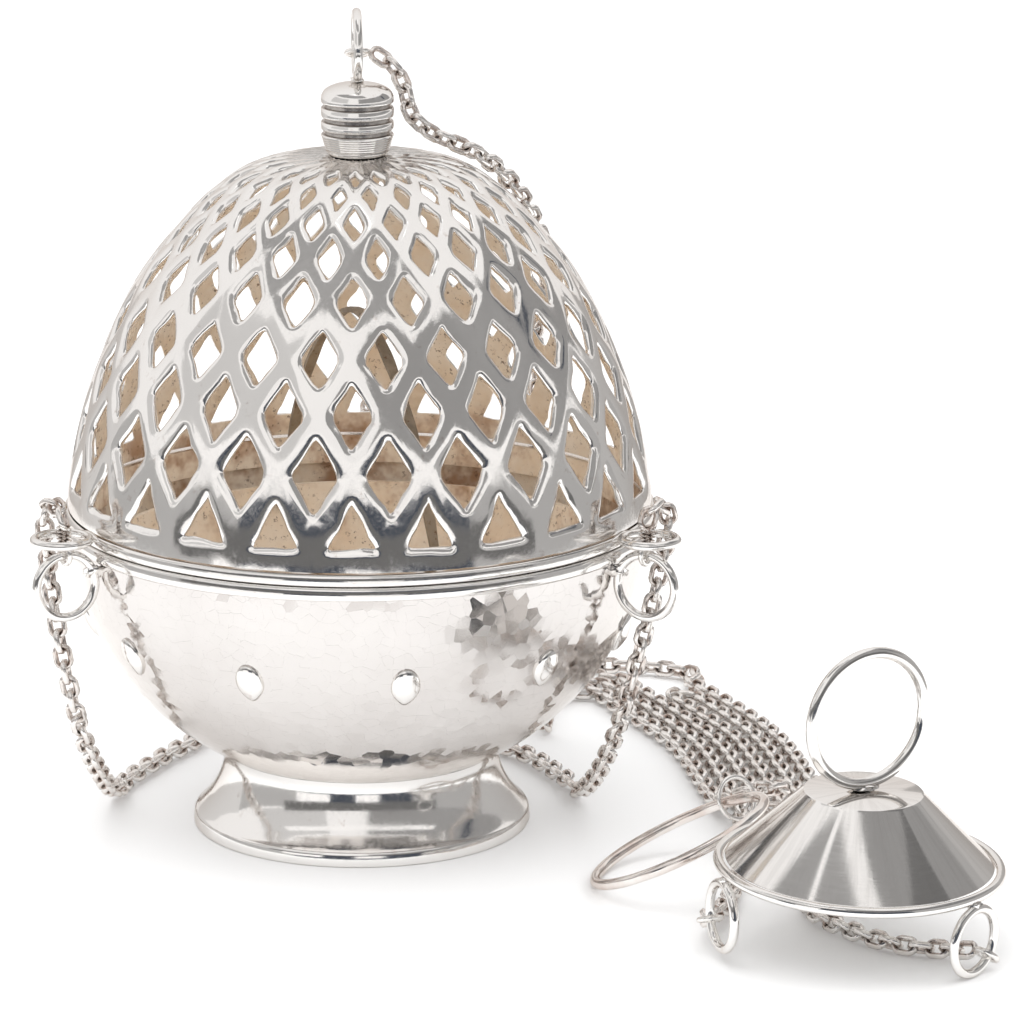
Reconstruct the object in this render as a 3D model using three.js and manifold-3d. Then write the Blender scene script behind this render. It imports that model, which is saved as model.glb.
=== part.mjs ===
// A silver thurible: a planished bowl on a spool foot, a pierced egg-shaped lid that slides up
// its three chains, a fire pan with a bail, and the conical boss and pull ring of the chains.
// Millimetres, +Z up, origin on the table at the middle of the foot. Azimuth 0 faces -Y.
import * as THREE from 'three';
import { mergeVertices } from 'three/addons/utils/BufferGeometryUtils.js';
import Module from 'manifold-3d';

const wasm = await Module();
wasm.setup();

// Driving dimensions
const SEAT_GAP = 0.3; // between pieces soldered or seated on a curved face
const TURNS = 40; // facets round the large turned pieces

const BOWL_RADIUS = 64.8; // outside, at the mouth
const BOWL_DEPTH = 61; // of the outer ellipse
const BOWL_WALL = 1.6;
const BOWL_FLOOR = 10; // height of its underside above the table
const MOUTH_HEIGHT = BOWL_FLOOR + BOWL_DEPTH;
const BAND_HEIGHT = 2.9; // smooth band round the mouth
const BAND_THICK = 0.7;
const STUD_COUNT = 11;
const STUD_DROP = 23.7; // of the studs' middles below the mouth
const STUD_HEIGHT = MOUTH_HEIGHT - STUD_DROP;
const STUD_WIDTH = 7;
const STUD_LENGTH = 9.4;
const STUD_RISE = 1.3;
const STUD_PHASE = -22; // degrees from the front

const FOOT_RADIUS = 37.9;
const FOOT_EDGE = 3.3; // height of the plain edge at the base
const FOOT_NECK = 30.8;
const FOOT_WALL = 1.4;
const FOOT_SEAT_RADIUS = 31;
const FOOT_FACETS = 36;

const DOME_RADIUS = BOWL_RADIUS + 0.2;
const DOME_OUTLINE = [ // share of the dome's radius and height above the lid's seat, up to the crown
  [1, 2.6], [0.9969, 6.9], [0.98, 13.7], [0.9277, 27.2], [0.8492, 40.7], [0.7385, 54.3],
  [0.58, 67.1], [0.4831, 73], [0.3708, 77.7], [0.2, 80.2], [0, 80.6],
];
const DOME_WALL = 1.5;
const LID_SEAT_GAP = 0.3;
const LID_RIM_HEIGHT = 2.6;
const LID_RIM_RADIUS = BOWL_RADIUS + 1;
const LID_SKIRT_DEPTH = 3.8; // of the flange that drops into the bowl
const LID_SKIRT_WALL = 1.1;
const LID_SKIRT_GAP = 0.7;
const COLUMNS = 24; // of holes in the lattice
const TRIANGLE_FOOT = MOUTH_HEIGHT + 7.3; // height of the lowest holes' flat bottoms
const HOLE_HEIGHTS = [13.2, 23.3, 35.6, 46.8, 58, 66.2, 72.4, 77.1, 79.7]; // of the rows above the mouth
const HOLE_WIDTHS = [13, 12.4, 11, 10.5, 9, 6.9, 5.75, 4.6, 3.3];
const HOLE_LENGTHS = [12.5, 19, 17.3, 15.5, 14.6, 12.7, 11, 10, 9];

const FINIAL_RADIUS = 8.07;
const FINIAL_FOOT_RADIUS = 6.5;
const FINIAL_HEIGHT = 16.1; // above the crown
const FINIAL_GROOVES = [5.2, 8, 11.1]; // above the crown
const TANG_RADIUS = 2.6;
const TANG_LENGTH = 3.4;
const TANG_GAP = 0.35;

const RING_WIRE = 2; // diameter of the soldered rings' wire
const RING_AZIMUTHS = [-60, 60, 180];
const BOWL_RING_OUTER = 16;
const BOWL_RING_PLACE = [BOWL_RADIUS + 7.95, MOUTH_HEIGHT - 7.2]; // radius and height of the rings' middles
const LID_RING_OUTER = 14;
const LID_RING_PLACE = [LID_RIM_RADIUS + 7.7, MOUTH_HEIGHT + 3.3];
const TONGUE = [4.5, 1, 1.1]; // half length, depth and height of the leaf that holds a lid ring
const EYE_OUTER = 16;
const EYE_TURN = 4; // degrees off the middle plane

const PAN_GAP = 5.2; // room for tongs between bowl and pan
const PAN_RADIUS = BOWL_RADIUS - BOWL_WALL - PAN_GAP; // outside, at the height of the bowl's mouth
const PAN_DEPTH = BOWL_DEPTH - BOWL_WALL;
const PAN_WALL = 1.3;
const PAN_RIM = MOUTH_HEIGHT - 7;
const PAN_LIP = 0.2;
const PAN_FLOOR_RADIUS = 22;
const PAN_FACETS = 32;
const PIVOT_HEIGHT = MOUTH_HEIGHT - 11;
const PIVOT_HOLE = 3.4;
const BAIL_AZIMUTH = 21; // of its nearer pivot
const BAIL_WIDTH = 2.4;
const BAIL_THICK = 1;
const BAIL_REACH = PAN_RADIUS - 0.6; // from the axis to the turned-out ends
const BAIL_BAND = [ // distance from the axis and height over the pivots
  [PAN_RADIUS - 3.8, 0], [PAN_RADIUS - 6.4, 7], [PAN_RADIUS - 10, 14.5],
  [0.6333 * PAN_RADIUS, 34], [0.3333 * PAN_RADIUS, 50], [0, 57],
];

const LINK_OUTER = 6; // the round links at the chains' ends
const LINK_WIRE = 1.2;
const LINK_SLACK = 0.45; // a hooked link's middle lies this far from its wire's middle
const CHAIN_WIDTH = 4.2; // over the links
const CHAIN_LIE = 2.3; // height of a chain's middle where it lies on the table
const CHAIN_GAP = 0.35; // between the faces of a chain's pieces
const CHAIN_SIDES = 8;
const SECTION_STEPS = 12; // tried between two points of a route
const SECTION_TURN = 26; // most degrees and millimetres from one section to the next
const SECTION_REACH = 15;
const FOLD_RADIUS = BOWL_RADIUS + 8.2; // where the carrying chains rise through the lid's rings
const RISER_FOOT = MOUTH_HEIGHT + 3.7;
const FOLD_FOOT = MOUTH_HEIGHT + 6;

const BOSS_PLACE = [106.8, -92.3, 18.6]; // middle of its rim
const BOSS_LEAN = [2.08, 2.15]; // degrees to the front and to the right
const BOSS_RIM_RADIUS = 29.65;
const BOSS_RIM_WIRE = 2.2;
const BOSS_CONE = [28.3, 12.4, 16.3]; // radii at foot and top, height of the top
const BOSS_WALL = 1.1;
const BOSS_RING_OUTER = 31;
const BOSS_RING_WIRE = 2.5;
const BOSS_RING_TURN = 32;
const BOSS_EYE_OUTER = 16;
const BOSS_EYE_RADIUS = 30.5;
const BOSS_EYE_DROP = 9;
const BOSS_EYE_AZIMUTHS = [-70.7, 49.3, 169.3];

const PULL_OUTER = 43;
const PULL_WIRE = 2.4;
const PULL_LOW = [52.1, -52.7, 1.75]; // middle of the wire at its low end
const PULL_RISE = [0.899, 0.134, 0.42]; // along the ring from its low end
const PULL_ACROSS = [-0.081, 0.987, -0.14];
const JUMP_OUTER = 10.5;
const JUMP_WIRE = 1.1;
const JUMP_PHASE = 48; // degrees round the pull ring from its high end
const JUMP_AIM = [0.78, 0.61, 0.14]; // from the pull ring to the chain

const silver = () => new THREE.MeshStandardMaterial({ color: 0xe4e1dc, roughness: 0.16, metalness: 1 });
const hammered = () => new THREE.MeshStandardMaterial({ color: 0xe2dfda, roughness: 0.24, metalness: 1 });
const brushed = () => new THREE.MeshStandardMaterial({ color: 0xd8d6d2, roughness: 0.34, metalness: 1 });
const worn = () => new THREE.MeshStandardMaterial({ color: 0xcbbdb0, roughness: 0.3, metalness: 1 });
const sooty = () => new THREE.MeshStandardMaterial({ color: 0xb08a66, roughness: 0.55, metalness: 0.7 });

const censer = new THREE.Group();

const lid = new THREE.Group();
const boss = new THREE.Group();
boss.position.set(...BOSS_PLACE);
boss.rotation.set(THREE.MathUtils.degToRad(BOSS_LEAN[0]), THREE.MathUtils.degToRad(BOSS_LEAN[1]), 0);
boss.updateMatrix();
censer.add(lid, boss);

function place(name, geometry, material, parent = censer) {
  const mesh = new THREE.Mesh(geometry, material);
  mesh.name = name;
  parent.add(mesh);
  return mesh;
}

const radians = THREE.MathUtils.degToRad;
const vector = ([x, y, z]) => new THREE.Vector3(x, y, z);

// A point at a radius, an azimuth in degrees from the front, and a height.
function polar(radius, azimuth, z) {
  const turn = radians(azimuth);
  return new THREE.Vector3(radius * Math.sin(turn), -radius * Math.cos(turn), z);
}

// A solid turned round Z from an outline of [radius, height] pairs, up the outside and down the
// inside, that closes on itself or starts and ends on the axis.
function turned(profile, facets = TURNS) {
  const points = profile.map(([r, z]) => new THREE.Vector2(r, z));
  if (profile[0][0] > 0) points.push(points[0].clone());
  const geometry = new THREE.LatheGeometry(points, facets);
  return geometry.rotateX(Math.PI / 2);
}

// A wire ring lying flat about Z.
function wireRing(outer, wire, facets = 16, sides = 6) {
  return new THREE.TorusGeometry((outer - wire) / 2, wire / 2, sides, facets);
}

// Sets a flat piece at a middle, with its flat side facing along a direction.
function stand(mesh, middle, facing) {
  mesh.position.copy(middle);
  mesh.quaternion.setFromUnitVectors(new THREE.Vector3(0, 0, 1), facing.clone().normalize());
  return mesh;
}

function toSolid(geometry) {
  const bare = geometry.clone();
  bare.deleteAttribute('normal');
  bare.deleteAttribute('uv');
  const merged = mergeVertices(bare, 1e-4);
  const corners = merged.index.array;
  const faces = [];
  for (let k = 0; k < corners.length; k += 3) {
    const [a, b, c] = [corners[k], corners[k + 1], corners[k + 2]];
    if (a !== b && b !== c && c !== a) faces.push(a, b, c); // a pole's thin faces drop out
  }
  return new wasm.Manifold(new wasm.Mesh({
    numProp: 3,
    vertProperties: new Float32Array(merged.attributes.position.array),
    triVerts: new Uint32Array(faces),
  }));
}

function fromSolid(solid) {
  const { vertProperties, triVerts } = solid.getMesh();
  const geometry = new THREE.BufferGeometry();
  geometry.setAttribute('position', new THREE.BufferAttribute(vertProperties, 3));
  geometry.setIndex(new THREE.BufferAttribute(triVerts, 1));
  geometry.computeVertexNormals();
  return geometry;
}

// Bowl and foot

// Height of an ellipse's lower half that hangs from the bowl's mouth.
function bowlHeight(radius, inset = 0) {
  const out = radius / (BOWL_RADIUS - inset);
  return MOUTH_HEIGHT - (BOWL_DEPTH - inset) * Math.sqrt(1 - out * out);
}

function bowlRadius(z) {
  const down = (MOUTH_HEIGHT - z) / BOWL_DEPTH;
  return BOWL_RADIUS * Math.sqrt(1 - down * down);
}

// Height just under the bowl, a seat's gap from it.
function underBowl(radius) {
  const slope = bowlHeight(radius + 0.5) - bowlHeight(radius - 0.5);
  return bowlHeight(radius) - SEAT_GAP * Math.hypot(1, slope);
}

// Points of a half ellipse's outline from a height near its mouth down to a radius.
function ellipseOutline(radius, depth, top, steps, floorRadius = 0) {
  const start = Math.asin((MOUTH_HEIGHT - top) / depth);
  const end = Math.acos(floorRadius / radius);
  const points = [];
  for (let k = 0; k <= steps; k += 1) {
    const turn = start + ((end - start) * k) / steps;
    const r = k === steps ? floorRadius : radius * Math.cos(turn);
    points.push([r, MOUTH_HEIGHT - depth * Math.sin(turn)]);
  }
  return points;
}

function stud(azimuth) {
  const geometry = new THREE.SphereGeometry(1, 7, 4);
  const corners = geometry.attributes.position;
  for (let k = 0; k < corners.count; k += 1) {
    const z = corners.getY(k); // an almond, drawn out to a point below
    const taper = z < 0 ? 1 - 0.4 * z * z : 1;
    corners.setX(k, corners.getX(k) * taper);
  }
  geometry.rotateX(Math.PI / 2);
  const slope = Math.atan2(bowlRadius(STUD_HEIGHT + 1) - bowlRadius(STUD_HEIGHT - 1), 2);
  geometry.scale(STUD_WIDTH / 2, STUD_RISE, STUD_LENGTH / 2);
  geometry.rotateX(slope);
  geometry.translate(0, -bowlRadius(STUD_HEIGHT), STUD_HEIGHT);
  geometry.rotateZ(radians(azimuth));
  return geometry;
}

function bowl() {
  const outside = ellipseOutline(BOWL_RADIUS, BOWL_DEPTH, MOUTH_HEIGHT, 8).reverse();
  const inside = ellipseOutline(BOWL_RADIUS - BOWL_WALL, BOWL_DEPTH - BOWL_WALL, MOUTH_HEIGHT, 8);
  let solid = toSolid(turned([...outside, ...inside]));
  for (let k = 0; k < STUD_COUNT; k += 1) {
    solid = solid.add(toSolid(stud(STUD_PHASE + (360 * k) / STUD_COUNT)));
  }
  return fromSolid(solid);
}

function bowlRim() {
  const inner = BOWL_RADIUS + SEAT_GAP;
  const low = MOUTH_HEIGHT - BAND_HEIGHT;
  return turned([
    [inner, low], [inner + 0.8 * BAND_THICK, low + 0.3], [inner + BAND_THICK, low + BAND_HEIGHT / 2],
    [inner + 0.8 * BAND_THICK, MOUTH_HEIGHT - 0.3], [inner, MOUTH_HEIGHT],
  ]);
}

function foot() {
  const seatInner = FOOT_SEAT_RADIUS - FOOT_WALL;
  const seat = underBowl(FOOT_SEAT_RADIUS);
  const flare = FOOT_RADIUS - FOOT_NECK;
  return turned([
    [FOOT_RADIUS - 0.3, 0], [FOOT_RADIUS, 0.6], [FOOT_RADIUS - 0.7, FOOT_EDGE], [FOOT_RADIUS - 1.6, FOOT_EDGE + 1],
    [FOOT_NECK + 0.45 * flare, 0.43 * seat], [FOOT_NECK + 0.15 * flare, 0.65 * seat], [FOOT_NECK, 0.89 * seat],
    [FOOT_SEAT_RADIUS, seat], [seatInner, underBowl(seatInner)],
    [FOOT_NECK - FOOT_WALL, 0.75 * seat], [FOOT_NECK - 0.2, 0.53 * seat], [FOOT_NECK + 0.31 * flare, 0.32 * seat],
    [FOOT_RADIUS - 2.1, 0],
  ], FOOT_FACETS);
}

// Lid

const LID_SEAT = MOUTH_HEIGHT + LID_SEAT_GAP;
const DOME_BASE = MOUTH_HEIGHT + 0.6;
const domeLine = new THREE.SplineCurve(
  DOME_OUTLINE.map(([share, z]) => new THREE.Vector2(share * DOME_RADIUS, DOME_BASE + z)),
);
domeLine.arcLengthDivisions = 400;
const DOME_ARC = domeLine.getLength();

// Length along the dome's outline from its lower edge up to a height or in to a radius.
function arcWhere(reached) {
  let [low, high] = [0, 1];
  for (let k = 0; k < 40; k += 1) {
    const middle = (low + high) / 2;
    if (reached(domeLine.getPointAt(middle))) high = middle;
    else low = middle;
  }
  return low * DOME_ARC;
}

const arcAtHeight = (z) => arcWhere((point) => point.y >= z);

// A point of the dome at an azimuth and an arc length, some way out from its outer face.
function onDome(azimuth, arc, out = 0) {
  const share = Math.min(1, arc / DOME_ARC);
  const point = domeLine.getPointAt(share);
  const along = domeLine.getTangentAt(share);
  return polar(point.x + out * along.y, azimuth, point.y - out * along.x);
}

// Half of one column of the lattice, as corners of azimuth and arc. The flag tells whether the
// edge from a corner to the next is cut metal or the seam to the neighbouring half.
function halfColumn() {
  const half = 180 / COLUMNS;
  const rows = HOLE_HEIGHTS.map((z, k) => {
    const arc = arcAtHeight(MOUTH_HEIGHT + z);
    const across = THREE.MathUtils.radToDeg(HOLE_WIDTHS[k] / 2 / domeLine.getPointAt(arc / DOME_ARC).x);
    return { arc, across, up: HOLE_LENGTHS[k] / 2 };
  });
  // Half a diamond on one seam, its point upwards along the seam for a sign of 1.
  const diamond = ({ arc, across, up }, side, sign) => [
    [side, arc - sign * up, true],
    [side === 0 ? across : side - across, arc, true],
    [side, arc + sign * up, false],
  ];
  const base = arcAtHeight(DOME_BASE + DOME_OUTLINE[0][1]);
  const crown = arcWhere((point) => point.x <= TANG_RADIUS + TANG_GAP);
  const corners = [[0, base, true], [half, base, false]];
  for (let k = 1; k < rows.length; k += 2) corners.push(...diamond(rows[k], half, 1));
  corners.push([half, crown, true], [0, crown, false]);
  for (let k = rows.length - 1; k > 0; k -= 2) corners.push(...diamond(rows[k], 0, -1));
  const sill = arcAtHeight(TRIANGLE_FOOT);
  corners.push([0, sill + HOLE_LENGTHS[0], true], [rows[0].across, sill, true], [0, sill, false]);
  return corners;
}

function dome() {
  const corners = halfColumn();
  const flat = corners.map(([azimuth, arc]) => new THREE.Vector2(radians(azimuth) * 50, arc));
  const faces = THREE.ShapeUtils.triangulateShape(flat, []);
  const spots = [];
  const put = (flip, ...points) => {
    const ordered = flip ? points.reverse() : points;
    ordered.forEach((point) => spots.push(point.x, point.y, point.z));
  };
  for (let column = 0; column < COLUMNS; column += 1) {
    for (const hand of [1, -1]) {
      const middle = (360 * column) / COLUMNS;
      const outer = corners.map(([azimuth, arc]) => onDome(middle + hand * azimuth, arc));
      const inner = corners.map(([azimuth, arc]) => onDome(middle + hand * azimuth, arc, -DOME_WALL));
      for (const [a, b, c] of faces) {
        put(hand < 0, outer[a], outer[b], outer[c]);
        put(hand < 0, inner[c], inner[b], inner[a]);
      }
      corners.forEach(([, , cutMetal], k) => {
        if (!cutMetal) return;
        const next = (k + 1) % corners.length;
        put(hand < 0, outer[k], inner[k], inner[next]);
        put(hand < 0, outer[k], inner[next], outer[next]);
      });
    }
  }
  const geometry = new THREE.BufferGeometry();
  geometry.setAttribute('position', new THREE.Float32BufferAttribute(spots, 3));
  const merged = mergeVertices(geometry, 1e-3);
  merged.computeVertexNormals();
  return merged;
}

function lidRim() {
  const skirtOuter = BOWL_RADIUS - BOWL_WALL - LID_SKIRT_GAP;
  const skirtInner = skirtOuter - LID_SKIRT_WALL;
  const top = LID_SEAT + LID_RIM_HEIGHT;
  return turned([
    [skirtInner, LID_SEAT - LID_SKIRT_DEPTH], [skirtOuter, LID_SEAT - LID_SKIRT_DEPTH], [skirtOuter, LID_SEAT],
    [LID_RIM_RADIUS - 0.2, LID_SEAT], [LID_RIM_RADIUS, LID_SEAT + LID_RIM_HEIGHT / 2],
    [LID_RIM_RADIUS - 0.2, top], [skirtInner, top],
  ]);
}

const CROWN = DOME_BASE + DOME_OUTLINE.at(-1)[1];
const FINIAL_TOP = CROWN + FINIAL_HEIGHT;

function finial() {
  const seat = CROWN + SEAT_GAP;
  const groove = 0.6;
  const outline = [
    [0, CROWN - TANG_LENGTH], [TANG_RADIUS, CROWN - TANG_LENGTH], [TANG_RADIUS, seat],
    [FINIAL_FOOT_RADIUS - 0.6, seat], [FINIAL_FOOT_RADIUS + 0.4, seat + 0.9], [FINIAL_RADIUS - 0.4, seat + 2.6],
  ];
  for (const up of FINIAL_GROOVES) {
    const z = CROWN + up;
    outline.push([FINIAL_RADIUS, z - 0.7 * groove], [FINIAL_RADIUS - groove, z], [FINIAL_RADIUS, z + 0.7 * groove]);
  }
  outline.push([FINIAL_RADIUS, FINIAL_TOP - 3], [FINIAL_RADIUS - 0.7, FINIAL_TOP - 1.8]);
  outline.push([FINIAL_RADIUS - 2.8, FINIAL_TOP - 0.7], [2.4, FINIAL_TOP], [0, FINIAL_TOP]);
  return turned(outline, 20);
}

const EYE_HEIGHT = FINIAL_TOP + SEAT_GAP + EYE_OUTER / 2;
const EYE_FACING = polar(1, 90 + EYE_TURN, 0);

// A ring of the lid about its middle, its leaf towards +Y.
function lidRing() {
  const leaf = new THREE.SphereGeometry(1, 8, 4);
  leaf.scale(...TONGUE).translate(0, LID_RING_PLACE[0] - (LID_RIM_RADIUS + SEAT_GAP + TONGUE[1]), 0);
  return fromSolid(toSolid(wireRing(LID_RING_OUTER, RING_WIRE)).add(toSolid(leaf)));
}

// Fire pan and bail

function firePan() {
  const floor = ellipseOutline(PAN_RADIUS, PAN_DEPTH, PAN_RIM - 1.2, 6, PAN_FLOOR_RADIUS);
  const inner = ellipseOutline(PAN_RADIUS - PAN_WALL, PAN_DEPTH - PAN_WALL, PAN_RIM, 7, PAN_FLOOR_RADIUS - 1);
  const rimRadius = floor[0][0] + PAN_LIP;
  const outline = [
    [0, floor.at(-1)[1]], ...floor.reverse(), [rimRadius, PAN_RIM - 0.8], [rimRadius, PAN_RIM],
    ...inner, [0, inner.at(-1)[1]],
  ];
  const drill = new THREE.CylinderGeometry(PIVOT_HOLE / 2, PIVOT_HOLE / 2, 2 * BAIL_REACH + 10, 10);
  drill.rotateZ(radians(BAIL_AZIMUTH)).translate(0, 0, PIVOT_HEIGHT);
  return fromSolid(toSolid(turned(outline, PAN_FACETS)).subtract(toSolid(drill)));
}

// A flat line moved sideways, its corners mitred.
function besideLine(points, distance) {
  return points.map((point, k) => {
    const before = point.clone().sub(points[Math.max(0, k - 1)]).normalize();
    const after = points[Math.min(points.length - 1, k + 1)].clone().sub(point).normalize();
    if (k === 0) before.copy(after);
    if (k === points.length - 1) after.copy(before);
    const side = new THREE.Vector2(-before.y - after.y, before.x + after.x).normalize();
    const mitre = side.dot(new THREE.Vector2(-before.y, before.x));
    return point.clone().addScaledVector(side, distance / mitre);
  });
}

// The strip in the X-Z plane, about the pivots' axis.
function bail() {
  const rising = BAIL_BAND.map(([x, z]) => new THREE.Vector2(x, z));
  const falling = BAIL_BAND.slice(0, -1).reverse().map(([x, z]) => new THREE.Vector2(-x, z));
  const band = new THREE.SplineCurve([...rising, ...falling]).getPoints(20);
  const line = [new THREE.Vector2(BAIL_REACH, 0), ...band, new THREE.Vector2(-BAIL_REACH, 0)];
  const edges = [...besideLine(line, -BAIL_THICK / 2), ...besideLine(line, BAIL_THICK / 2).reverse()];
  const strip = new THREE.ExtrudeGeometry(new THREE.Shape(edges), { depth: BAIL_WIDTH, bevelEnabled: false });
  return strip.translate(0, 0, -BAIL_WIDTH / 2).rotateX(Math.PI / 2);
}

// Boss

function bossCone() {
  const [footRadius, topRadius, height] = BOSS_CONE;
  const low = 0.6;
  return turned([
    [0, height - BOSS_WALL], [topRadius - 0.6, height - BOSS_WALL], [footRadius - BOSS_WALL * 1.3, low],
    [footRadius, low], [topRadius + 0.4, height - 0.5], [topRadius - 0.3, height], [0, height],
  ]);
}

// Pull ring and jump ring

const pullRise = vector(PULL_RISE).normalize();
const pullAcross = vector(PULL_ACROSS).normalize();
const PULL_MEAN = (PULL_OUTER - PULL_WIRE) / 2;
const pullMiddle = vector(PULL_LOW).addScaledVector(pullRise, PULL_MEAN);
const jumpAim = vector(JUMP_AIM).normalize();

function pullWire(degrees) {
  const [along, across] = [Math.cos(radians(degrees)), Math.sin(radians(degrees))];
  const point = pullMiddle.clone().addScaledVector(pullRise, PULL_MEAN * along);
  point.addScaledVector(pullAcross, PULL_MEAN * across);
  const way = pullAcross.clone().multiplyScalar(along).addScaledVector(pullRise, -across);
  return { point, way };
}

const hook = pullWire(JUMP_PHASE);
const jumpFacing = hook.way.clone().addScaledVector(jumpAim, -hook.way.dot(jumpAim));
const jumpMiddle = hook.point.clone().addScaledVector(jumpAim, JUMP_OUTER / 2 - JUMP_WIRE - PULL_WIRE / 2 - SEAT_GAP);

// Chains

// A curve with its sections close together in the bends and far apart between them.
class ChainCurve extends THREE.CatmullRomCurve3 {
  constructor(points) {
    super(points, false, 'centripetal');
    const fine = SECTION_STEPS * (points.length - 1);
    this.stops = [0];
    let turn = 0;
    for (let k = 1; k < fine; k += 1) {
      turn += this.getTangent((k - 1) / fine).angleTo(this.getTangent(k / fine));
      const last = this.getPoint(this.stops.at(-1));
      const far = last.distanceTo(this.getPoint((k + 1) / fine)) > SECTION_REACH;
      if (turn > radians(SECTION_TURN) || far) {
        this.stops.push(k / fine);
        turn = 0;
      }
    }
    this.stops.push(1);
  }

  stop(share) {
    return this.stops[Math.round(share * (this.stops.length - 1))];
  }

  getPointAt(share, target) {
    return this.getPoint(this.stop(share), target);
  }

  getTangentAt(share, target) {
    return this.getTangent(this.stop(share), target);
  }
}

const routes = []; // of all the chains, for the measure of their least gap

function chain(points) {
  const corners = [];
  for (let k = 0; k < CHAIN_SIDES; k += 1) {
    const turn = (2 * Math.PI * k) / CHAIN_SIDES;
    corners.push(new THREE.Vector2(Math.cos(turn), Math.sin(turn)).multiplyScalar(CHAIN_WIDTH / 2));
  }
  const extrudePath = new ChainCurve(points.map(vector));
  routes.push(extrudePath);
  const steps = extrudePath.stops.length - 1;
  return new THREE.ExtrudeGeometry(new THREE.Shape(corners), { extrudePath, steps });
}

// A round link hooked over a wire: a point of the wire, the way that it runs there, and the side to
// which the chain leaves.
function placeLink(name, { point, way, leaving }, parent = censer) {
  const link = place(name, wireRing(LINK_OUTER, LINK_WIRE, 9, 5), worn(), parent);
  return stand(link, point.clone().addScaledVector(leaving, LINK_SLACK), way);
}

// A place on a boss's eye, by its turn round the eye, with the chain leaving inward or outward.
function bossHook(azimuth, degrees, inward, outward) {
  const across = polar(1, azimuth + 90, 0);
  const out = polar(1, azimuth, 0);
  const radius = (BOSS_EYE_OUTER - RING_WIRE) / 2;
  const spoke = across.clone().multiplyScalar(Math.cos(radians(degrees)));
  spoke.z = Math.sin(radians(degrees));
  const point = polar(BOSS_EYE_RADIUS, azimuth, -BOSS_EYE_DROP).addScaledVector(spoke, radius);
  const way = new THREE.Vector3().crossVectors(out, spoke);
  const leaving = spoke.clone().multiplyScalar(outward).addScaledVector(out, -inward).normalize();
  return {
    point: point.applyMatrix4(boss.matrix),
    way: way.transformDirection(boss.matrix),
    leaving: leaving.transformDirection(boss.matrix),
  };
}

const BOSS_HOOKS = [
  bossHook(BOSS_EYE_AZIMUTHS[0], 205, 0.3, 1),
  bossHook(BOSS_EYE_AZIMUTHS[1], -40, 1, 0),
  bossHook(BOSS_EYE_AZIMUTHS[2], -90, -1, 0),
];
const GOALS = [2, 0, 1]; // the eye at which each carrying chain ends

// Where a chain's own body starts, beyond a hooked link.
function beyond({ point, leaving }) {
  return point.clone().addScaledVector(leaving, LINK_SLACK + LINK_OUTER / 2 + 0.5).toArray();
}

// The bundle of chains on the table: its middle line from the back to the front, and lanes beside it.
const BUNDLE = [[66, 97], [83, 56], [90, 20], [93, 0]];
const LANE_PITCH = 4.9;
const LANES = 6;
const HANK_PITCH = 5.2;

function lane(number) {
  const line = new THREE.SplineCurve(BUNDLE.map(([x, y]) => new THREE.Vector2(x, y))).getSpacedPoints(9);
  const offset = (number - (LANES + 1) / 2) * LANE_PITCH;
  return besideLine(line, offset).map((point) => [point.x, point.y]);
}

// The points of a half turn from one place to another, bulging along a way.
function halfTurn([fromX, fromY], [toX, toY], [wayX, wayY]) {
  const radius = Math.hypot(toX - fromX, toY - fromY) / 2;
  return [36, 72, 108, 144].map((degrees) => {
    const [along, out] = [Math.cos(radians(degrees)), radius * Math.sin(radians(degrees))];
    const [midX, midY] = [(fromX + toX) / 2, (fromY + toY) / 2];
    return [midX + (fromX - midX) * along + wayX * out, midY + (fromY - midY) * along + wayY * out];
  });
}

// Slack laid to and fro behind the bowl, in passes from a side to another, each behind the last.
function hank([near, far], start, passes) {
  const points = [];
  for (let k = 0; k < passes; k += 1) {
    const y = start + k * HANK_PITCH;
    const [from, to] = k % 2 === 0 ? [near, far] : [far, near];
    points.push([from, y], [0.8 * from + 0.2 * to, y], [0.2 * from + 0.8 * to, y], [to, y]);
    const way = [Math.sign(to - from), 0];
    if (k < passes - 1) points.push(...halfTurn([to, y], [to, y + HANK_PITCH], way));
  }
  return points;
}

// From a lid ring's bore over the ring's side: distance along the ring's tangent, and height over the
// fold's foot.
const FOLD = [[0, 0], [0, 0.8], [0.6, 2], [2.2, 3.3], [4.7, 3.9], [7.3, 3], [9, 1.1], [9.6, -1.4]];
const FOLD_SIDES = [-1, 1, -1];

function fold(ring) {
  const start = polar(FOLD_RADIUS, RING_AZIMUTHS[ring], 0);
  const aside = polar(FOLD_SIDES[ring], RING_AZIMUTHS[ring] + 90, 0);
  return FOLD.map(([along, up]) => [start.x + along * aside.x, start.y + along * aside.y, FOLD_FOOT + up]);
}

const lie = (points) => points.map(([x, y, z = CHAIN_LIE]) => [x, y, z]);

// How each chain hangs beside the bowl: azimuth, distance out from the fold, and height as a share
// of the mouth's.
const FALLS = [
  [
    [-65.72, -0.05, 0.8451], [-63.61, -1, 0.6761], [-63.62, -3.23, 0.5211],
    [-68.36, -7.91, 0.3521], [-82.21, -13.96, 0.1831], [-96.01, -15.69, 0.0704],
    [-104.06, -15.37, 0.0338], [-107.59, -15.09, 0.0324],
  ],
  [
    [66.12, -1.37, 0.8732], [64.36, -3.67, 0.7042], [63.24, -6.36, 0.5352],
    [66.99, -11.61, 0.3662], [80.45, -18.75, 0.1972], [95.65, -22.25, 0.0775],
    [105.52, -22.56, 0.0338], [109.62, -22.36, 0.0324],
  ],
  [
    [172.3, 1.67, 0.8451], [171.66, 2.8, 0.6338], [170.78, 5.01, 0.4225],
    [170.31, 10.19, 0.2113], [169.68, 17.46, 0.0746], [168.52, 23.43, 0.0338],
    [167.81, 26.44, 0.0324],
  ],
];

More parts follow.
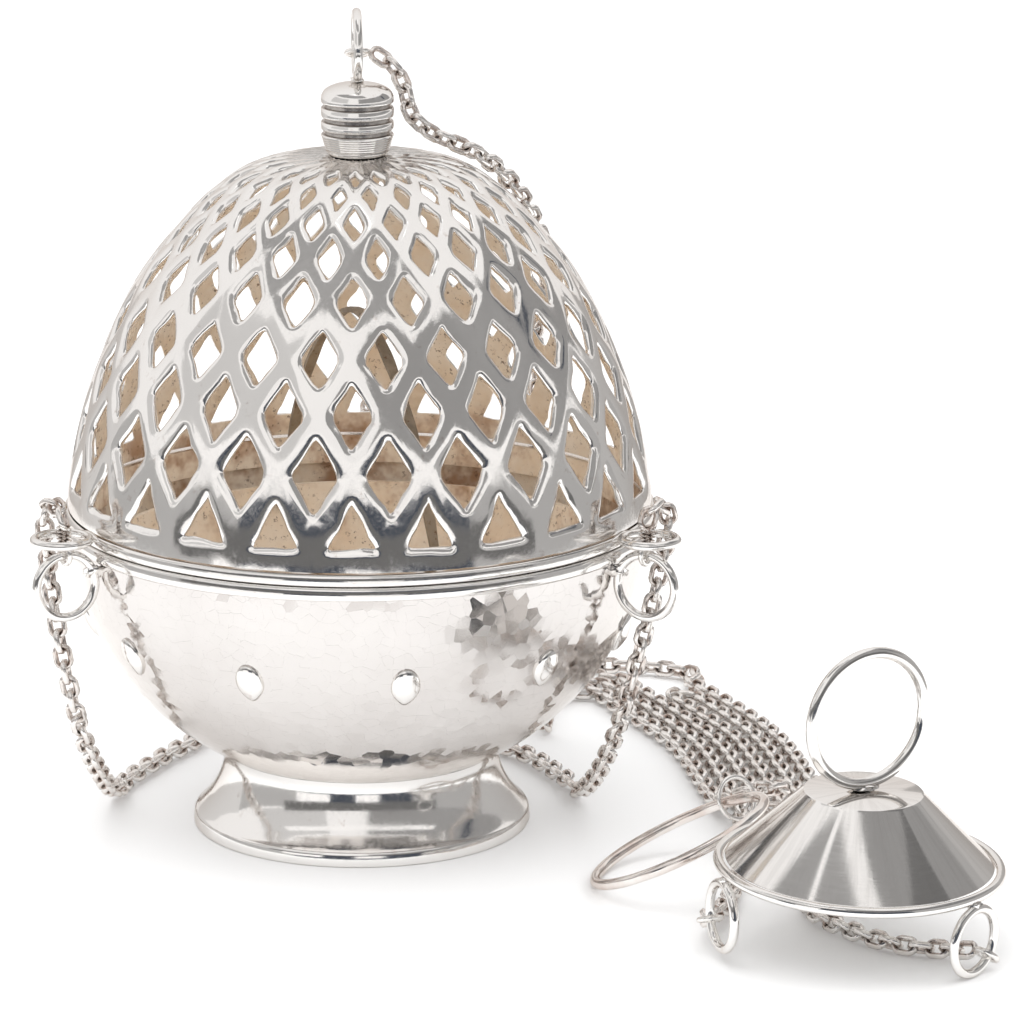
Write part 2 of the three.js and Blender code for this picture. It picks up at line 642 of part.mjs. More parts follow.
function beside(fall) {
  return fall.map(([azimuth, out, share]) => {
    const z = Math.max(share * MOUTH_HEIGHT, CHAIN_LIE);
    return polar(FOLD_RADIUS + out, azimuth, z).toArray();
  });
}

const RUNS = [
  lie([
    [-52, 28], [-47, 40], [-41.5, 51], [-37.5, 61], [-35, 70], [-31, 77], ...hank([-24, 3], 79.6, 5),
    [13, 105], [32, 114.5], [50, 117], [64, 116.4], [73.5, 113], [79, 108], ...lane(6), [107, -20], [111.5, -42],
  ]),
  lie([
    [43.5, 29], [37.5, 41], [29, 51], ...hank([18, -24], 57.4, 4),
    [26, 74.6], [31.5, 81], [36, 92], [42, 99], [50, 101.4], [56, 99], ...lane(2),
    [85.2, -8], [84.5, -20], [83, -50], [79, -74, 3], [75.4, -86, 4.8],
  ]),
  lie([
    [25.5, 102], [38, 107.5], [52, 107.8], [60, 103.5], ...lane(3),
    ...halfTurn(lane(3).at(-1), lane(4).at(-1), [0.15, -0.99]), ...lane(4).slice(1).reverse(),
    ...halfTurn(lane(4)[1], lane(5)[1], [-0.38, 0.92]), ...lane(5).slice(1),
    [101, -20], [100, -45], [97, -65], [99, -77], [104, -85.5], [109, -92], [116, -97.5], [123, -99.8],
  ]),
];

const LID_FALL = [
  [145.02, -3.92, 1.2845], [145.08, -3.48, 1.0563], [145.13, -3.04, 0.8169], [145.19, -1.87, 0.5352],
  [145.07, -1.04, 0.2817], [145.49, 0.42, 0.1127], [147.05, 3.86, 0.0394], [148.42, 6.82, 0.0324],
];
const LID_RUN = [
  ...lie([[41.6, 76], [43, 85], [46.5, 91.5], [51, 94.3], ...lane(1).slice(0, -1)]), [80.6, 3, 2.6],
  [81.2, -3, 4.4], [83.6, -10, 7.6], [88, -14, 10.4], [92.6, -18.5, 12.6], [93.4, -24, 14],
];
const SHOULDER = [[7.6, 6.6, 18.4], [10.2, 5.6, 13.8], [11.4, 5.2, 8.8], [14, 6, 5.2], [19, 7.4, 2]];
const DRAPE = [ // azimuth, and height above the mouth of the dome's face below
  [109, 78], [114, 74], [119, 67.5], [124.5, 59], [130, 48.5], [135.5, 38], [141.5, 29],
];

// The straight start of a run, its face a gap beyond a fall's end and parallel to it.
function after(fall) {
  const [before, end] = fall.slice(-2).map(vector);
  const way = end.clone().sub(before).setZ(0).normalize();
  return [CHAIN_GAP, CHAIN_GAP + CHAIN_WIDTH].map((distance) => end.clone().addScaledVector(way, distance).toArray());
}

const EYE_HOOK = (() => {
  const back = polar(1, 180 + EYE_TURN, 0);
  const radius = (EYE_OUTER - RING_WIRE) / 2;
  const spoke = back.clone().multiplyScalar(Math.cos(radians(25)));
  spoke.z = -Math.sin(radians(25));
  const point = new THREE.Vector3(0, 0, EYE_HEIGHT).addScaledVector(spoke, radius);
  return { point, way: new THREE.Vector3().crossVectors(EYE_FACING, spoke), leaving: EYE_FACING.clone() };
})();

const lidFall = beside(LID_FALL);

// The lid's chain from its eye over the finial's shoulder, whose heights are above the crown, and down
// the dome.
function drape() {
  const overDome = DRAPE.map(([azimuth, up]) => (
    onDome(azimuth, arcAtHeight(MOUTH_HEIGHT + up), CHAIN_WIDTH / 2 + 0.8).toArray()
  ));
  const overShoulder = SHOULDER.map(([x, y, up]) => [x, y, CROWN + up]);
  const [x, y, top] = lidFall[0];
  const end = [CHAIN_WIDTH, CHAIN_GAP].map((up) => [x, y, top + up]);
  return [beyond(EYE_HOOK), ...overShoulder, ...overDome, ...end];
}

// Assembly

place('foot', foot(), silver());
place('bowl', bowl(), hammered());
place('bowl_rim', bowlRim(), silver());
place('fire_pan', firePan(), sooty());
const bailMesh = place('bail', bail(), sooty());
bailMesh.position.z = PIVOT_HEIGHT;
bailMesh.rotation.z = radians(BAIL_AZIMUTH - 90);

place('lid_rim', lidRim(), silver(), lid);
place('lid_dome', dome(), silver(), lid);
place('finial', finial(), silver(), lid);
const eyeMiddle = new THREE.Vector3(0, 0, EYE_HEIGHT);
stand(place('lid_eye', wireRing(EYE_OUTER, RING_WIRE, 18), silver(), lid), eyeMiddle, EYE_FACING);

place('boss_cone', bossCone(), brushed(), boss);
place('boss_rim', wireRing(2 * BOSS_RIM_RADIUS + BOSS_RIM_WIRE, BOSS_RIM_WIRE, 32), silver(), boss);
const bossRing = place('boss_ring', wireRing(BOSS_RING_OUTER, BOSS_RING_WIRE, 22), silver(), boss);
const bossRingMiddle = new THREE.Vector3(0, 0, BOSS_CONE[2] + SEAT_GAP + BOSS_RING_OUTER / 2);
stand(bossRing, bossRingMiddle, polar(1, BOSS_RING_TURN, 0));

const pullRing = place('pull_ring', wireRing(PULL_OUTER, PULL_WIRE, 26), worn());
stand(pullRing, pullMiddle, new THREE.Vector3().crossVectors(pullRise, pullAcross));
stand(place('jump_ring', wireRing(JUMP_OUTER, JUMP_WIRE), worn()), jumpMiddle, jumpFacing);

RING_AZIMUTHS.forEach((azimuth, k) => {
  const number = k + 1;
  const upright = place(`bowl_ring_${number}`, wireRing(BOWL_RING_OUTER, RING_WIRE), silver());
  const [reach, height] = BOWL_RING_PLACE;
  stand(upright, polar(reach, azimuth, height), polar(1, azimuth + 90, 0));
  const flat = place(`lid_ring_${number}`, lidRing(), silver(), lid);
  flat.position.copy(polar(LID_RING_PLACE[0], azimuth, LID_RING_PLACE[1]));
  flat.rotation.z = radians(azimuth);
  const eye = place(`boss_eye_${number}`, wireRing(BOSS_EYE_OUTER, RING_WIRE), silver(), boss);
  const eyeAzimuth = BOSS_EYE_AZIMUTHS[k];
  stand(eye, polar(BOSS_EYE_RADIUS, eyeAzimuth, -BOSS_EYE_DROP), polar(1, eyeAzimuth, 0));

  const ringTop = polar(reach, azimuth, height + (BOWL_RING_OUTER - RING_WIRE) / 2);
  placeLink(`bowl_link_${number}`, { point: ringTop, way: polar(1, azimuth, 0), leaving: new THREE.Vector3(0, 0, 1) });
  const riser = [RISER_FOOT, FOLD_FOOT - CHAIN_GAP].map((z) => polar(FOLD_RADIUS, azimuth, z).toArray());
  place(`chain_riser_${number}`, chain(riser), worn());
  const fall = [...fold(k), ...beside(FALLS[k])];
  place(`chain_fall_${number}`, chain(fall), worn());
  const goal = BOSS_HOOKS[GOALS[k]];
  place(`chain_run_${number}`, chain([...after(fall), ...RUNS[k], beyond(goal)]), worn());
  placeLink(`boss_link_${number}`, goal);
});

placeLink('eye_link', EYE_HOOK, lid);
place('lid_chain_drape', chain(drape()), worn(), lid);
place('lid_chain_fall', chain(lidFall), worn());
const jumpEnd = jumpMiddle.clone().addScaledVector(jumpAim, JUMP_OUTER / 2 + 0.5).toArray();
place('lid_chain_run', chain([...after(lidFall), ...LID_RUN, jumpEnd]), worn());

// Least gap of the chains to themselves and to each other, over points a millimetre apart.
function leastGap() {
  const beads = routes.map((route) => Array.from({ length: 700 }, (_, k) => route.getPoint(k / 699)));
  let least = Infinity;
  beads.forEach((row, first) => {
    beads.slice(first).forEach((other, offset) => {
      row.forEach((bead, k) => {
        let travelled = 0;
        const from = offset === 0 ? k + 1 : 0;
        for (let m = from; m < other.length; m += 1) {
          if (offset === 0) travelled += other[m].distanceTo(other[m - 1]);
          const apart = offset > 0 ? !isJoint(first, first + offset) : travelled > 1.7 * CHAIN_WIDTH;
          if (apart) least = Math.min(least, bead.distanceTo(other[m]));
        }
      });
    });
  });
  return least - CHAIN_WIDTH;
}

// Two pieces of one chain, end to end.
function isJoint(first, second) {
  const ends = (route) => [route.points[0], route.points.at(-1)];
  return ends(routes[first]).some((a) => ends(routes[second]).some((b) => a.distanceTo(b) < 3));
}

console.log(`least gap between chains ${leastGap().toFixed(2)} mm`);

export default censer;
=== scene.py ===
"""A silver thurible: hammered bowl, pierced lid, fire pan, chains, boss and pull ring."""

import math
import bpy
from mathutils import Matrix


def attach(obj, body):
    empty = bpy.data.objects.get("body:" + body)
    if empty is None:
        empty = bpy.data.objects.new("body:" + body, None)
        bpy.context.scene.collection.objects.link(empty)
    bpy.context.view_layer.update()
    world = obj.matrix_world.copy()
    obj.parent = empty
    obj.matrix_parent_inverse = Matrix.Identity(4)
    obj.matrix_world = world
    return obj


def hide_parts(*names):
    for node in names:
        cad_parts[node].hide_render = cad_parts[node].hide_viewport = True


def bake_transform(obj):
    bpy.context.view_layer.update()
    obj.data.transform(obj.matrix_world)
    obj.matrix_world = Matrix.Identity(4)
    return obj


bl_info = {
    "name": "Silver thurible",
    "version": (1, 0, 0),
    "blender": (4, 5, 0),
    "location": "View3D > Sidebar > Thurible",
    "description": "Builds a hanging censer with a pierced lid, link chains and a studio table",
    "category": "Add Mesh",
}

import bmesh
import bpy
from mathutils import Matrix, Vector, noise

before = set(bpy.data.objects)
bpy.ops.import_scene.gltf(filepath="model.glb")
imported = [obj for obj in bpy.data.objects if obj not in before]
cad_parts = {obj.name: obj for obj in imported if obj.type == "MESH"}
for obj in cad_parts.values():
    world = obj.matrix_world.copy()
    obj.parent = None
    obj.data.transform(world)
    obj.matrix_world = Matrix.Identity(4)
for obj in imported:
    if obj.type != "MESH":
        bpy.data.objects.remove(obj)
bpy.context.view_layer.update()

MM = 0.001
SEED = 7  # noise_vector takes its offsets from the seed, and else from the clock
UP = Vector((0, 0, 1))

# Places and outlines in millimetres, on the axis of bowl and lid.
BOWL_RADIUS, BOWL_DEPTH, MOUTH = 64.8, 61.0, 71.0
DOME_BASE = 71.6
DOME_OUTLINE = [
    (65, 2.6), (64.8, 6.9), (63.7, 13.7), (60.3, 27.2), (55.2, 40.7), (48, 54.3),
    (37.7, 67.1), (31.4, 73), (24.1, 77.7), (13, 80.2), (0, 80.6),
]
COLUMNS = 24
TRIANGLE_FOOT = 78.3
HOLE_HEIGHTS = [84.2, 94.3, 106.6, 117.8, 129, 137.2, 143.4, 148.1, 150.7]
HOLE_WIDTHS = [13, 12.4, 11, 10.5, 9, 6.9, 5.75, 4.6, 3.3]
HOLE_LENGTHS = [12.5, 19, 17.3, 15.5, 14.6, 12.7, 11, 10, 9]
RING_AZIMUTHS = (-60, 60, 180)
RING_OUTER, RING_WIRE = 16, 2
BOWL_RING_PLACE = (72.75, 63.8)
LID_RING_PLACE = (73.5, 74.3)
EYE_HEIGHT = 176.6
BAIL_AZIMUTH, PIVOT_HEIGHT, BAIL_REACH = 21, 60, 57.4
BOSS_EYE_AZIMUTHS = (-70.7, 49.3, 169.3)
BOSS_EYE_PLACE, BOSS_TOP = (30.5, -9), 16.3
BOSS_TILT = Matrix.Rotation(math.radians(2.08), 4, "X") @ Matrix.Rotation(math.radians(2.15), 4, "Y")
BOSS = Matrix.Translation((106.8, -92.3, 18.6)) @ BOSS_TILT
PULL_OUTER, PULL_WIRE = 43, 2.4
JUMP_OUTER, JUMP_WIRE = 10.5, 1.1
PULL_TURN = 48
PULL_LOW = Vector((52.1, -52.7, 1.75))
PULL_RISE = Vector((0.899, 0.134, 0.42)).normalized()
PULL_ACROSS = Vector((-0.081, 0.987, -0.14)).normalized()
JUMP_AIM = Vector((0.78, 0.61, 0.14)).normalized()
LINK_SLACK = 0.45
CHAIN_LIE = 2.3
CHAIN_GAP, CHAIN_STEP = 0.35, 4.2
FOLD_RADIUS = 73
STUD_HEIGHT, STUD_PHASE = 47.3, -22
LENS, SENSOR = 203.42, 36
CAMERA_RIGHT, CAMERA_HEIGHT, CAMERA_TILT = 0.0339, 0.3909, 14.35


# Shapes


def polar(radius, azimuth, z=0.0):
    """A point at a radius, an azimuth in degrees from the front, and a height."""
    turn = math.radians(azimuth)
    return Vector((radius * math.sin(turn), -radius * math.cos(turn), z))


def facing(middle, direction):
    """A matrix that sets a flat piece at a middle with its flat side to a direction."""
    return Matrix.Translation(middle) @ UP.rotation_difference(Vector(direction)).to_matrix().to_4x4()


def spin(bm, geom, angle, steps, **settings):
    """Spins a shape round Z."""
    bmesh.ops.spin(bm, geom=geom, cent=(0, 0, 0), axis=(0, 0, 1), angle=angle, steps=steps, **settings)


def turned(bm, profile, steps=128, closed=True):
    """Spins an outline of (radius, height) pairs round Z."""
    verts = [bm.verts.new((r, 0, z)) for r, z in profile]
    edges = [bm.edges.new(pair) for pair in zip(verts, verts[1:])]
    if closed:
        edges.append(bm.edges.new((verts[-1], verts[0])))
    spin(bm, verts + edges, math.tau, steps, use_merge=True)
    bmesh.ops.remove_doubles(bm, verts=bm.verts, dist=1e-4)
    bmesh.ops.recalc_face_normals(bm, faces=bm.faces)
    return bm


def wire_ring(bm, outer, wire, matrix, steps=64, sides=14):
    """Adds a round ring of round wire."""
    loop = bmesh.ops.create_circle(bm, cap_ends=False, segments=sides, radius=wire / 2)
    verts = loop["verts"]
    turn = Matrix.Translation(((outer - wire) / 2, 0, 0)) @ Matrix.Rotation(math.pi / 2, 4, "X")
    bmesh.ops.transform(bm, matrix=turn, verts=verts)
    edges = list(dict.fromkeys(edge for vert in verts for edge in vert.link_edges))
    before = set(bm.verts) - set(verts)
    spin(bm, verts + edges, math.tau, steps, use_merge=True)
    new = [vert for vert in bm.verts if vert not in before]
    faces = list(dict.fromkeys(face for vert in new for face in vert.link_faces))
    bmesh.ops.recalc_face_normals(bm, faces=faces)
    bmesh.ops.transform(bm, matrix=matrix, verts=new)
    return new


def blob(bm, place, size, direction=UP, roughness=0.12):
    """Adds a small lump of solder, a little uneven."""
    made = bmesh.ops.create_icosphere(bm, subdivisions=3, radius=1)["verts"]
    for vert in made:
        vert.co *= 1 + roughness * noise.noise(vert.co * 1.7 + Vector(place))
    bmesh.ops.scale(bm, vec=size, verts=made)
    bmesh.ops.transform(bm, matrix=facing(place, direction), verts=made)
    return made


def spline(points, share):
    """A point of a smooth line through points, at a share of its course."""
    place = share * (len(points) - 1)
    k = min(int(place), len(points) - 2)
    t = place - k
    p0, p1, p2 = points[max(0, k - 1)], points[k], points[k + 1]
    p3 = points[min(len(points) - 1, k + 2)]
    v0, v1 = (p2 - p0) / 2, (p3 - p1) / 2
    return (2 * p1 - 2 * p2 + v0 + v1) * t ** 3 + (3 * p2 - 3 * p1 - 2 * v0 - v1) * t ** 2 + v0 * t + p1


def spaced(points, parts, make=spline):
    """Points at equal lengths along a smooth line."""
    fine = 40 * (len(points) - 1)
    line = [make(points, k / fine) for k in range(fine + 1)]
    sums = [0.0]
    for a, b in zip(line, line[1:]):
        sums.append(sums[-1] + (b - a).length)
    found, k = [], 0
    for part in range(parts + 1):
        goal = sums[-1] * part / parts
        while k < fine - 1 and sums[k + 1] < goal:
            k += 1
        step = (goal - sums[k]) / max(1e-9, sums[k + 1] - sums[k])
        found.append(line[k].lerp(line[k + 1], step))
    return found, sums[-1]


def smooth_outline(points, parts):
    return [tuple(point) for point in spaced([Vector(p) for p in points], parts)[0]]


def ellipse_outline(radius, depth, top, steps, floor_radius=0.0):
    start = math.asin((MOUTH - top) / depth)
    end = math.acos(floor_radius / radius)
    points = []
    for k in range(steps + 1):
        turn = start + (end - start) * k / steps
        points.append((floor_radius if k == steps else radius * math.cos(turn), MOUTH - depth * math.sin(turn)))
    return points


def under_bowl(radius, gap=0.3):
    def height(r):
        return MOUTH - BOWL_DEPTH * math.sqrt(1 - (r / BOWL_RADIUS) ** 2)
    slope = height(radius + 0.5) - height(radius - 0.5)
    return height(radius) - gap * math.hypot(1, slope)


def bowl_radius(z):
    return BOWL_RADIUS * math.sqrt(1 - ((MOUTH - z) / BOWL_DEPTH) ** 2)


def stain_inside(bm, reach):
    """Gives the second material to the faces within a radius that look to the axis."""
    bm.normal_update()
    for face in bm.faces:
        middle = face.calc_center_median()
        if math.hypot(middle.x, middle.y) < reach and face.normal.dot(Vector((middle.x, middle.y, 0))) < 0:
            face.material_index = 1


def new_object(name, bm):
    """Puts a shape into the scene as an object."""
    mesh = bpy.data.meshes.new(name)
    bm.to_mesh(mesh)
    bm.free()
    return linked(name, mesh)


def linked(name, data):
    made = bpy.data.objects.new(name, data)
    bpy.context.scene.collection.objects.link(made)
    return made


def finish_piece(name, bm, materials, body, replaced=(), sharp=35):
    """Makes a shaded object of a shape in millimetres and lets it ride on its body."""
    bmesh.ops.scale(bm, vec=(MM, MM, MM), verts=bm.verts)
    piece = new_object(name, bm)
    mesh = piece.data
    for key in materials:
        mesh.materials.append(material(key))
    mesh.polygons.foreach_set("use_smooth", [True] * len(mesh.polygons))
    if sharp:
        mesh.set_sharp_from_angle(angle=math.radians(sharp))
    if body:
        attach(piece, body)
    if replaced:
        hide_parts(*replaced)
    return piece


def finish_ring(name, bm, body, node):
    return finish_piece(name, bm, ["polished"], body, [node], 60)


def round_link(name, middle, way, body, node):
    """Adds one of the round links that end a chain."""
    bm = bmesh.new()
    wire_ring(bm, 6, 1.2, facing(middle, way), 28, 10)
    finish_piece(name, bm, ["worn"], body, [node], 60)


# Materials


class Nodes:
    """A short way to lay out nodes."""

    def __init__(self, owner):
        owner.use_nodes = True
        self.tree = owner.node_tree

    def add(self, kind, inputs=None, **settings):
        node = self.tree.nodes.new(kind)
        for key, value in settings.items():
            setattr(node, key, value)
        for key, value in (inputs or {}).items():
            self.set(node.inputs[key], value)
        return node

    def set(self, socket, value):
        if isinstance(value, bpy.types.NodeSocket):
            self.tree.links.new(value, socket)
        else:
            socket.default_value = value

    def math(self, operation, a, b=0.0):
        return self.add("ShaderNodeMath", {0: a, 1: b}, operation=operation).outputs[0]

    def times(self, a, b):
        return self.math("MULTIPLY", a, b)


class Metal(Nodes):
    """A short way to lay out the nodes of one material."""

    def __init__(self, name):
        self.material = bpy.data.materials.new(name)
        super().__init__(self.material)
        self.shader = self.tree.nodes["Principled BSDF"]
        self.coordinates = self.add("ShaderNodeTexCoord").outputs["Object"]

    def noise(self, scale, detail=3.0, roughness=0.55, source=None):
        inputs = {"Vector": source or self.coordinates, "Scale": scale, "Detail": detail, "Roughness": roughness}
        return self.add("ShaderNodeTexNoise", inputs).outputs["Fac"]

    def ramp(self, value, low, high, to=(0.0, 1.0)):
        inputs = {"Value": value, "From Min": low, "From Max": high, "To Min": to[0], "To Max": to[1]}
        return self.add("ShaderNodeMapRange", inputs, interpolation_type="SMOOTHSTEP").outputs["Result"]

    def mix(self, factor, a, b):
        node = self.add("ShaderNodeMix", data_type="RGBA")
        self.set(node.inputs[0], factor)
        self.set(node.inputs[6], a)
        self.set(node.inputs[7], b)
        return node.outputs[2]

    def bump(self, height, distance, strength=1.0, below=None):
        inputs = {"Height": height, "Distance": distance, "Strength": strength}
        if below is not None:
            inputs["Normal"] = below
        return self.add("ShaderNodeBump", inputs).outputs["Normal"]

    def surface(self, colour, roughness, normal, metallic=1.0, rim=(0.76, 0.72, 0.69)):
        self.set(self.shader.inputs["Base Color"], colour)
        self.set(self.shader.inputs["Roughness"], roughness)
        self.set(self.shader.inputs["Normal"], normal)
        self.shader.inputs["Metallic"].default_value = metallic
        self.shader.inputs["Specular Tint"].default_value = rgba(rim) if metallic == 1.0 else (1, 1, 1, 1)
        return self.material


def rgba(colour):
    return (colour[0], colour[1], colour[2], 1.0)


def polished_silver(finish):
    n = Metal("polished_silver")
    clouds = n.noise(45, 4, 0.6)
    stains = n.ramp(n.noise(260, 5, 0.7), 0.6, 0.74)
    colour = n.mix(n.times(stains, 0.35), rgba(finish.silver), rgba(finish.tarnish))
    colour = n.mix(n.ramp(clouds, 0.35, 0.75, (0.0, 0.25)), colour, (0.80, 0.78, 0.76, 1))
    hairlines = n.ramp(n.noise(1400, 2, 0.6), 0.3, 0.7, (0.0, 0.08))
    roughness = n.math("ADD", n.ramp(clouds, 0.3, 0.8, (0.05, 0.12)), hairlines)
    waves = n.bump(n.noise(110, 2, 0.5), 0.00012, 0.5)
    scratches = n.bump(n.noise(2600, 3, 0.6), 0.00001, 0.35, waves)
    return n.surface(colour, roughness, scratches)


def hammered_silver(finish):
    n = Metal("hammered_silver")
    inputs = {"Vector": n.coordinates, "Scale": 345.0, "Randomness": 0.75}
    cells = n.add("ShaderNodeTexVoronoi", inputs, feature="F1").outputs
    marks = cells["Distance"]
    dish = n.times(n.times(marks, marks), 0.00007)
    apart = n.add("ShaderNodeVectorMath", {0: n.coordinates, 1: cells["Position"]}, operation="SUBTRACT").outputs[0]
    way = n.add("ShaderNodeVectorMath", {0: cells["Color"], 1: (0.5, 0.5, 0.5)}, operation="SUBTRACT").outputs[0]
    slope = n.add("ShaderNodeVectorMath", {0: apart, 1: way}, operation="DOT_PRODUCT").outputs["Value"]
    tilt = n.times(slope, 0.09)
    clouds = n.noise(40, 4, 0.6)
    colour = n.mix(n.ramp(clouds, 0.35, 0.7, (0.8, 1.0)), rgba(finish.silver), (0.70, 0.67, 0.65, 1))
    roughness = n.math("ADD", n.ramp(clouds, 0.3, 0.8, (0.05, 0.1)), n.ramp(n.noise(1200, 2, 0.6), 0.3, 0.7, (0.0, 0.04)))
    planished = n.bump(n.math("ADD", dish, tilt), 1.0, finish.hammering)
    fine = n.bump(n.noise(2400, 3, 0.6), 0.00001, 0.4, planished)
    return n.surface(colour, roughness, fine, rim=(1, 0.98, 0.96))


def brushed_silver(finish):
    n = Metal("brushed_silver")
    place = BOSS.to_translation() * MM
    inputs = {"Vector": n.coordinates, "Location": -place}
    about = n.add("ShaderNodeMapping", inputs, vector_type="POINT").outputs["Vector"]
    parts = n.add("ShaderNodeSeparateXYZ", {"Vector": about}).outputs
    squares = [n.times(part, part) for part in parts[:2]]
    radius = n.math("SQRT", n.math("ADD", *squares))
    angle = n.math("ARCTAN2", parts[0], parts[1])

    def round_about(rings, spokes, layer):
        inputs = {"X": n.times(radius, rings), "Y": n.times(angle, spokes), "Z": layer}
        return n.add("ShaderNodeCombineXYZ", inputs).outputs[0]

    brush = n.noise(1.0, 3, 0.7, round_about(5200.0, 3.0, 0.0))
    # Darker radial streaks in the colour are a painted reflection of the brushed cone's fanned sheen; the same streaks
    # also make the surface a little rougher.
    dull_and_painted_streaks = n.ramp(n.noise(1.0, 4, 0.65, round_about(60.0, 9.0, 2.0)), 0.4, 0.7)
    colour = n.mix(n.times(dull_and_painted_streaks, 0.4), rgba(finish.silver), (0.72, 0.70, 0.68, 1))
    roughness = n.math("ADD", n.ramp(brush, 0.3, 0.7, (0.05, 0.11)), n.times(dull_and_painted_streaks, 0.04))
    normal = n.bump(brush, 0.000004, 0.5)
    return n.surface(colour, roughness, normal)


def worn_silver(finish):
    n = Metal("worn_silver")
    clouds = n.noise(120, 4, 0.6)
    crevice = n.add("ShaderNodeAttribute", attribute_name="crevice").outputs["Fac"]
    brown = n.times(n.ramp(clouds, 0.3, 0.62, (0.05, 0.6)), crevice)
    patches = n.ramp(n.noise(70, 2, 0.5), 0.5, 0.66, (0.0, 0.14))
    amount = n.math("MAXIMUM", brown, patches)
    colour = n.mix(amount, rgba(finish.worn), rgba(finish.tarnish))
    roughness = n.ramp(n.noise(900, 3, 0.6), 0.3, 0.7, (0.14, 0.28))
    normal = n.bump(n.noise(900, 3, 0.6), 0.00004, 0.4)
    return n.surface(colour, roughness, normal)


def heated_silver(finish):
    return sooty("heated_silver", finish.heated, finish.scorched, 0.05, 0.85)


def scorched_silver(finish):
    dark = [part * 0.2 for part in finish.scorched]
    return sooty("scorched_silver", [part * 0.4 for part in finish.scorched], dark, 0.6, 0.0)


def sooty(name, light, dark, metallic, scorch):
    """Stained metal with brown specks that gather in patches."""
    n = Metal(name)
    clouds = n.noise(60, 5, 0.65)
    specks = n.ramp(n.noise(720, 4, 0.8), 0.57, 0.64)
    gather = n.ramp(n.noise(90, 3, 0.6), 0.42, 0.6)
    soot = n.times(specks, gather)
    colour = n.mix(n.ramp(clouds, 0.35, 0.7), rgba(light), rgba(dark))
    height = n.add("ShaderNodeSeparateXYZ", {"Vector": n.coordinates}).outputs[2]
    edge = n.times(n.ramp(height, 0.044, 0.062), n.ramp(height, 0.088, 0.074))
    burnt = n.times(n.times(edge, n.ramp(n.noise(34, 5, 0.7), 0.45, 0.62)), scorch)
    colour = n.mix(burnt, colour, (0.36, 0.17, 0.07, 1))
    colour = n.mix(n.times(soot, 0.8), colour, (0.16, 0.085, 0.045, 1))
    roughness = n.ramp(n.noise(400, 3, 0.6), 0.3, 0.7, (0.4, 0.6))
    normal = n.bump(n.noise(900, 4, 0.65), 0.00006, 0.5)
    return n.surface(colour, roughness, normal, metallic)


def shaded_silver(finish):
    n = Metal("shaded_silver")
    clouds = n.noise(300, 3, 0.6)
    colour = n.mix(n.ramp(clouds, 0.35, 0.65), (0.42, 0.39, 0.37, 1), (0.60, 0.57, 0.54, 1))
    return n.surface(colour, n.ramp(clouds, 0.3, 0.7, (0.14, 0.26)), n.bump(clouds, 0.00002, 0.4))


def blushed_silver(finish):
    n = Metal("blushed_silver")
    clouds = n.noise(110, 4, 0.6)
    colour = n.mix(n.ramp(clouds, 0.35, 0.7, (0.08, 0.6)), rgba(finish.worn), (0.64, 0.48, 0.41, 1))
    roughness = n.ramp(clouds, 0.3, 0.7, (0.07, 0.18))
    return n.surface(colour, roughness, n.bump(n.noise(700, 2, 0.5), 0.00002, 0.3))


MATERIALS = {}


def material(name):
    makers = {
        "polished": polished_silver, "hammered": hammered_silver, "brushed": brushed_silver,
        "worn": worn_silver, "heated": heated_silver, "scorched": scorched_silver,
        "blushed": blushed_silver, "shaded": shaded_silver,
    }
    if name not in MATERIALS:
        MATERIALS[name] = makers[name](bpy.context.scene.thurible_finish)
    return MATERIALS[name]


# Routes of the chains


def curve_point(points, share):
    """A point of a centripetal smooth line, at a share of its course."""
    place = share * (len(points) - 1)
    k = min(int(place), len(points) - 2)
    t = place - k
    p1, p2 = points[k], points[k + 1]
    p0 = points[k - 1] if k > 0 else 2 * p1 - p2
    p3 = points[k + 2] if k + 2 < len(points) else 2 * p2 - p1
    d1 = math.sqrt((p2 - p1).length)
    d1 = d1 if d1 > 1e-4 else 1.0
    d0 = math.sqrt((p1 - p0).length)
    d0 = d0 if d0 > 1e-4 else d1
    d2 = math.sqrt((p3 - p2).length)
    d2 = d2 if d2 > 1e-4 else d1
    t1 = ((p1 - p0) / d0 - (p2 - p0) / (d0 + d1) + (p2 - p1) / d1) * d1
    t2 = ((p2 - p1) / d1 - (p3 - p1) / (d1 + d2) + (p3 - p2) / d2) * d1
    return p1 + t1 * t + (-3 * p1 + 3 * p2 - 2 * t1 - t2) * t ** 2 + (2 * p1 - 2 * p2 + t1 + t2) * t ** 3


def beside_line(points, distance):
    moved = []
    for k, point in enumerate(points):
        before = point - points[max(0, k - 1)]
        after = points[min(len(points) - 1, k + 1)] - point
        before = before if k else after
        after = after if k < len(points) - 1 else before
        before, after = before.normalized(), after.normalized()
        side = Vector((-before.y - after.y, before.x + after.x)).normalized()
        mitre = side.dot(Vector((-before.y, before.x)))
        moved.append(point + side * (distance / mitre))
    return moved


BUNDLE = [Vector(p) for p in ((66, 97), (83, 56), (90, 20), (93, 0))]
LANE_PITCH, LANES, HANK_PITCH = 4.9, 6, 5.2


def lane(number):
    line = spaced(BUNDLE, 9)[0]
    return [tuple(p) for p in beside_line(line, (number - (LANES + 1) / 2) * LANE_PITCH)]


def half_turn(start, end, way):
    radius = math.dist(start, end) / 2
    middle = [(a + b) / 2 for a, b in zip(start, end)]
    points = []
    for degrees in (36, 72, 108, 144):
        along, out = math.cos(math.radians(degrees)), radius * math.sin(math.radians(degrees))
        points.append(tuple(m + (s - m) * along + w * out for m, s, w in zip(middle, start, way)))
    return points


def hank(ends, start, passes):
    near, far = ends
    points = []
    for k in range(passes):
        y = start + k * HANK_PITCH
        a, b = (near, far) if k % 2 == 0 else (far, near)
        points += [(a, y), (0.8 * a + 0.2 * b, y), (0.2 * a + 0.8 * b, y), (b, y)]
        if k < passes - 1:
            points += half_turn((b, y), (b, y + HANK_PITCH), (math.copysign(1, b - a), 0))
    return points


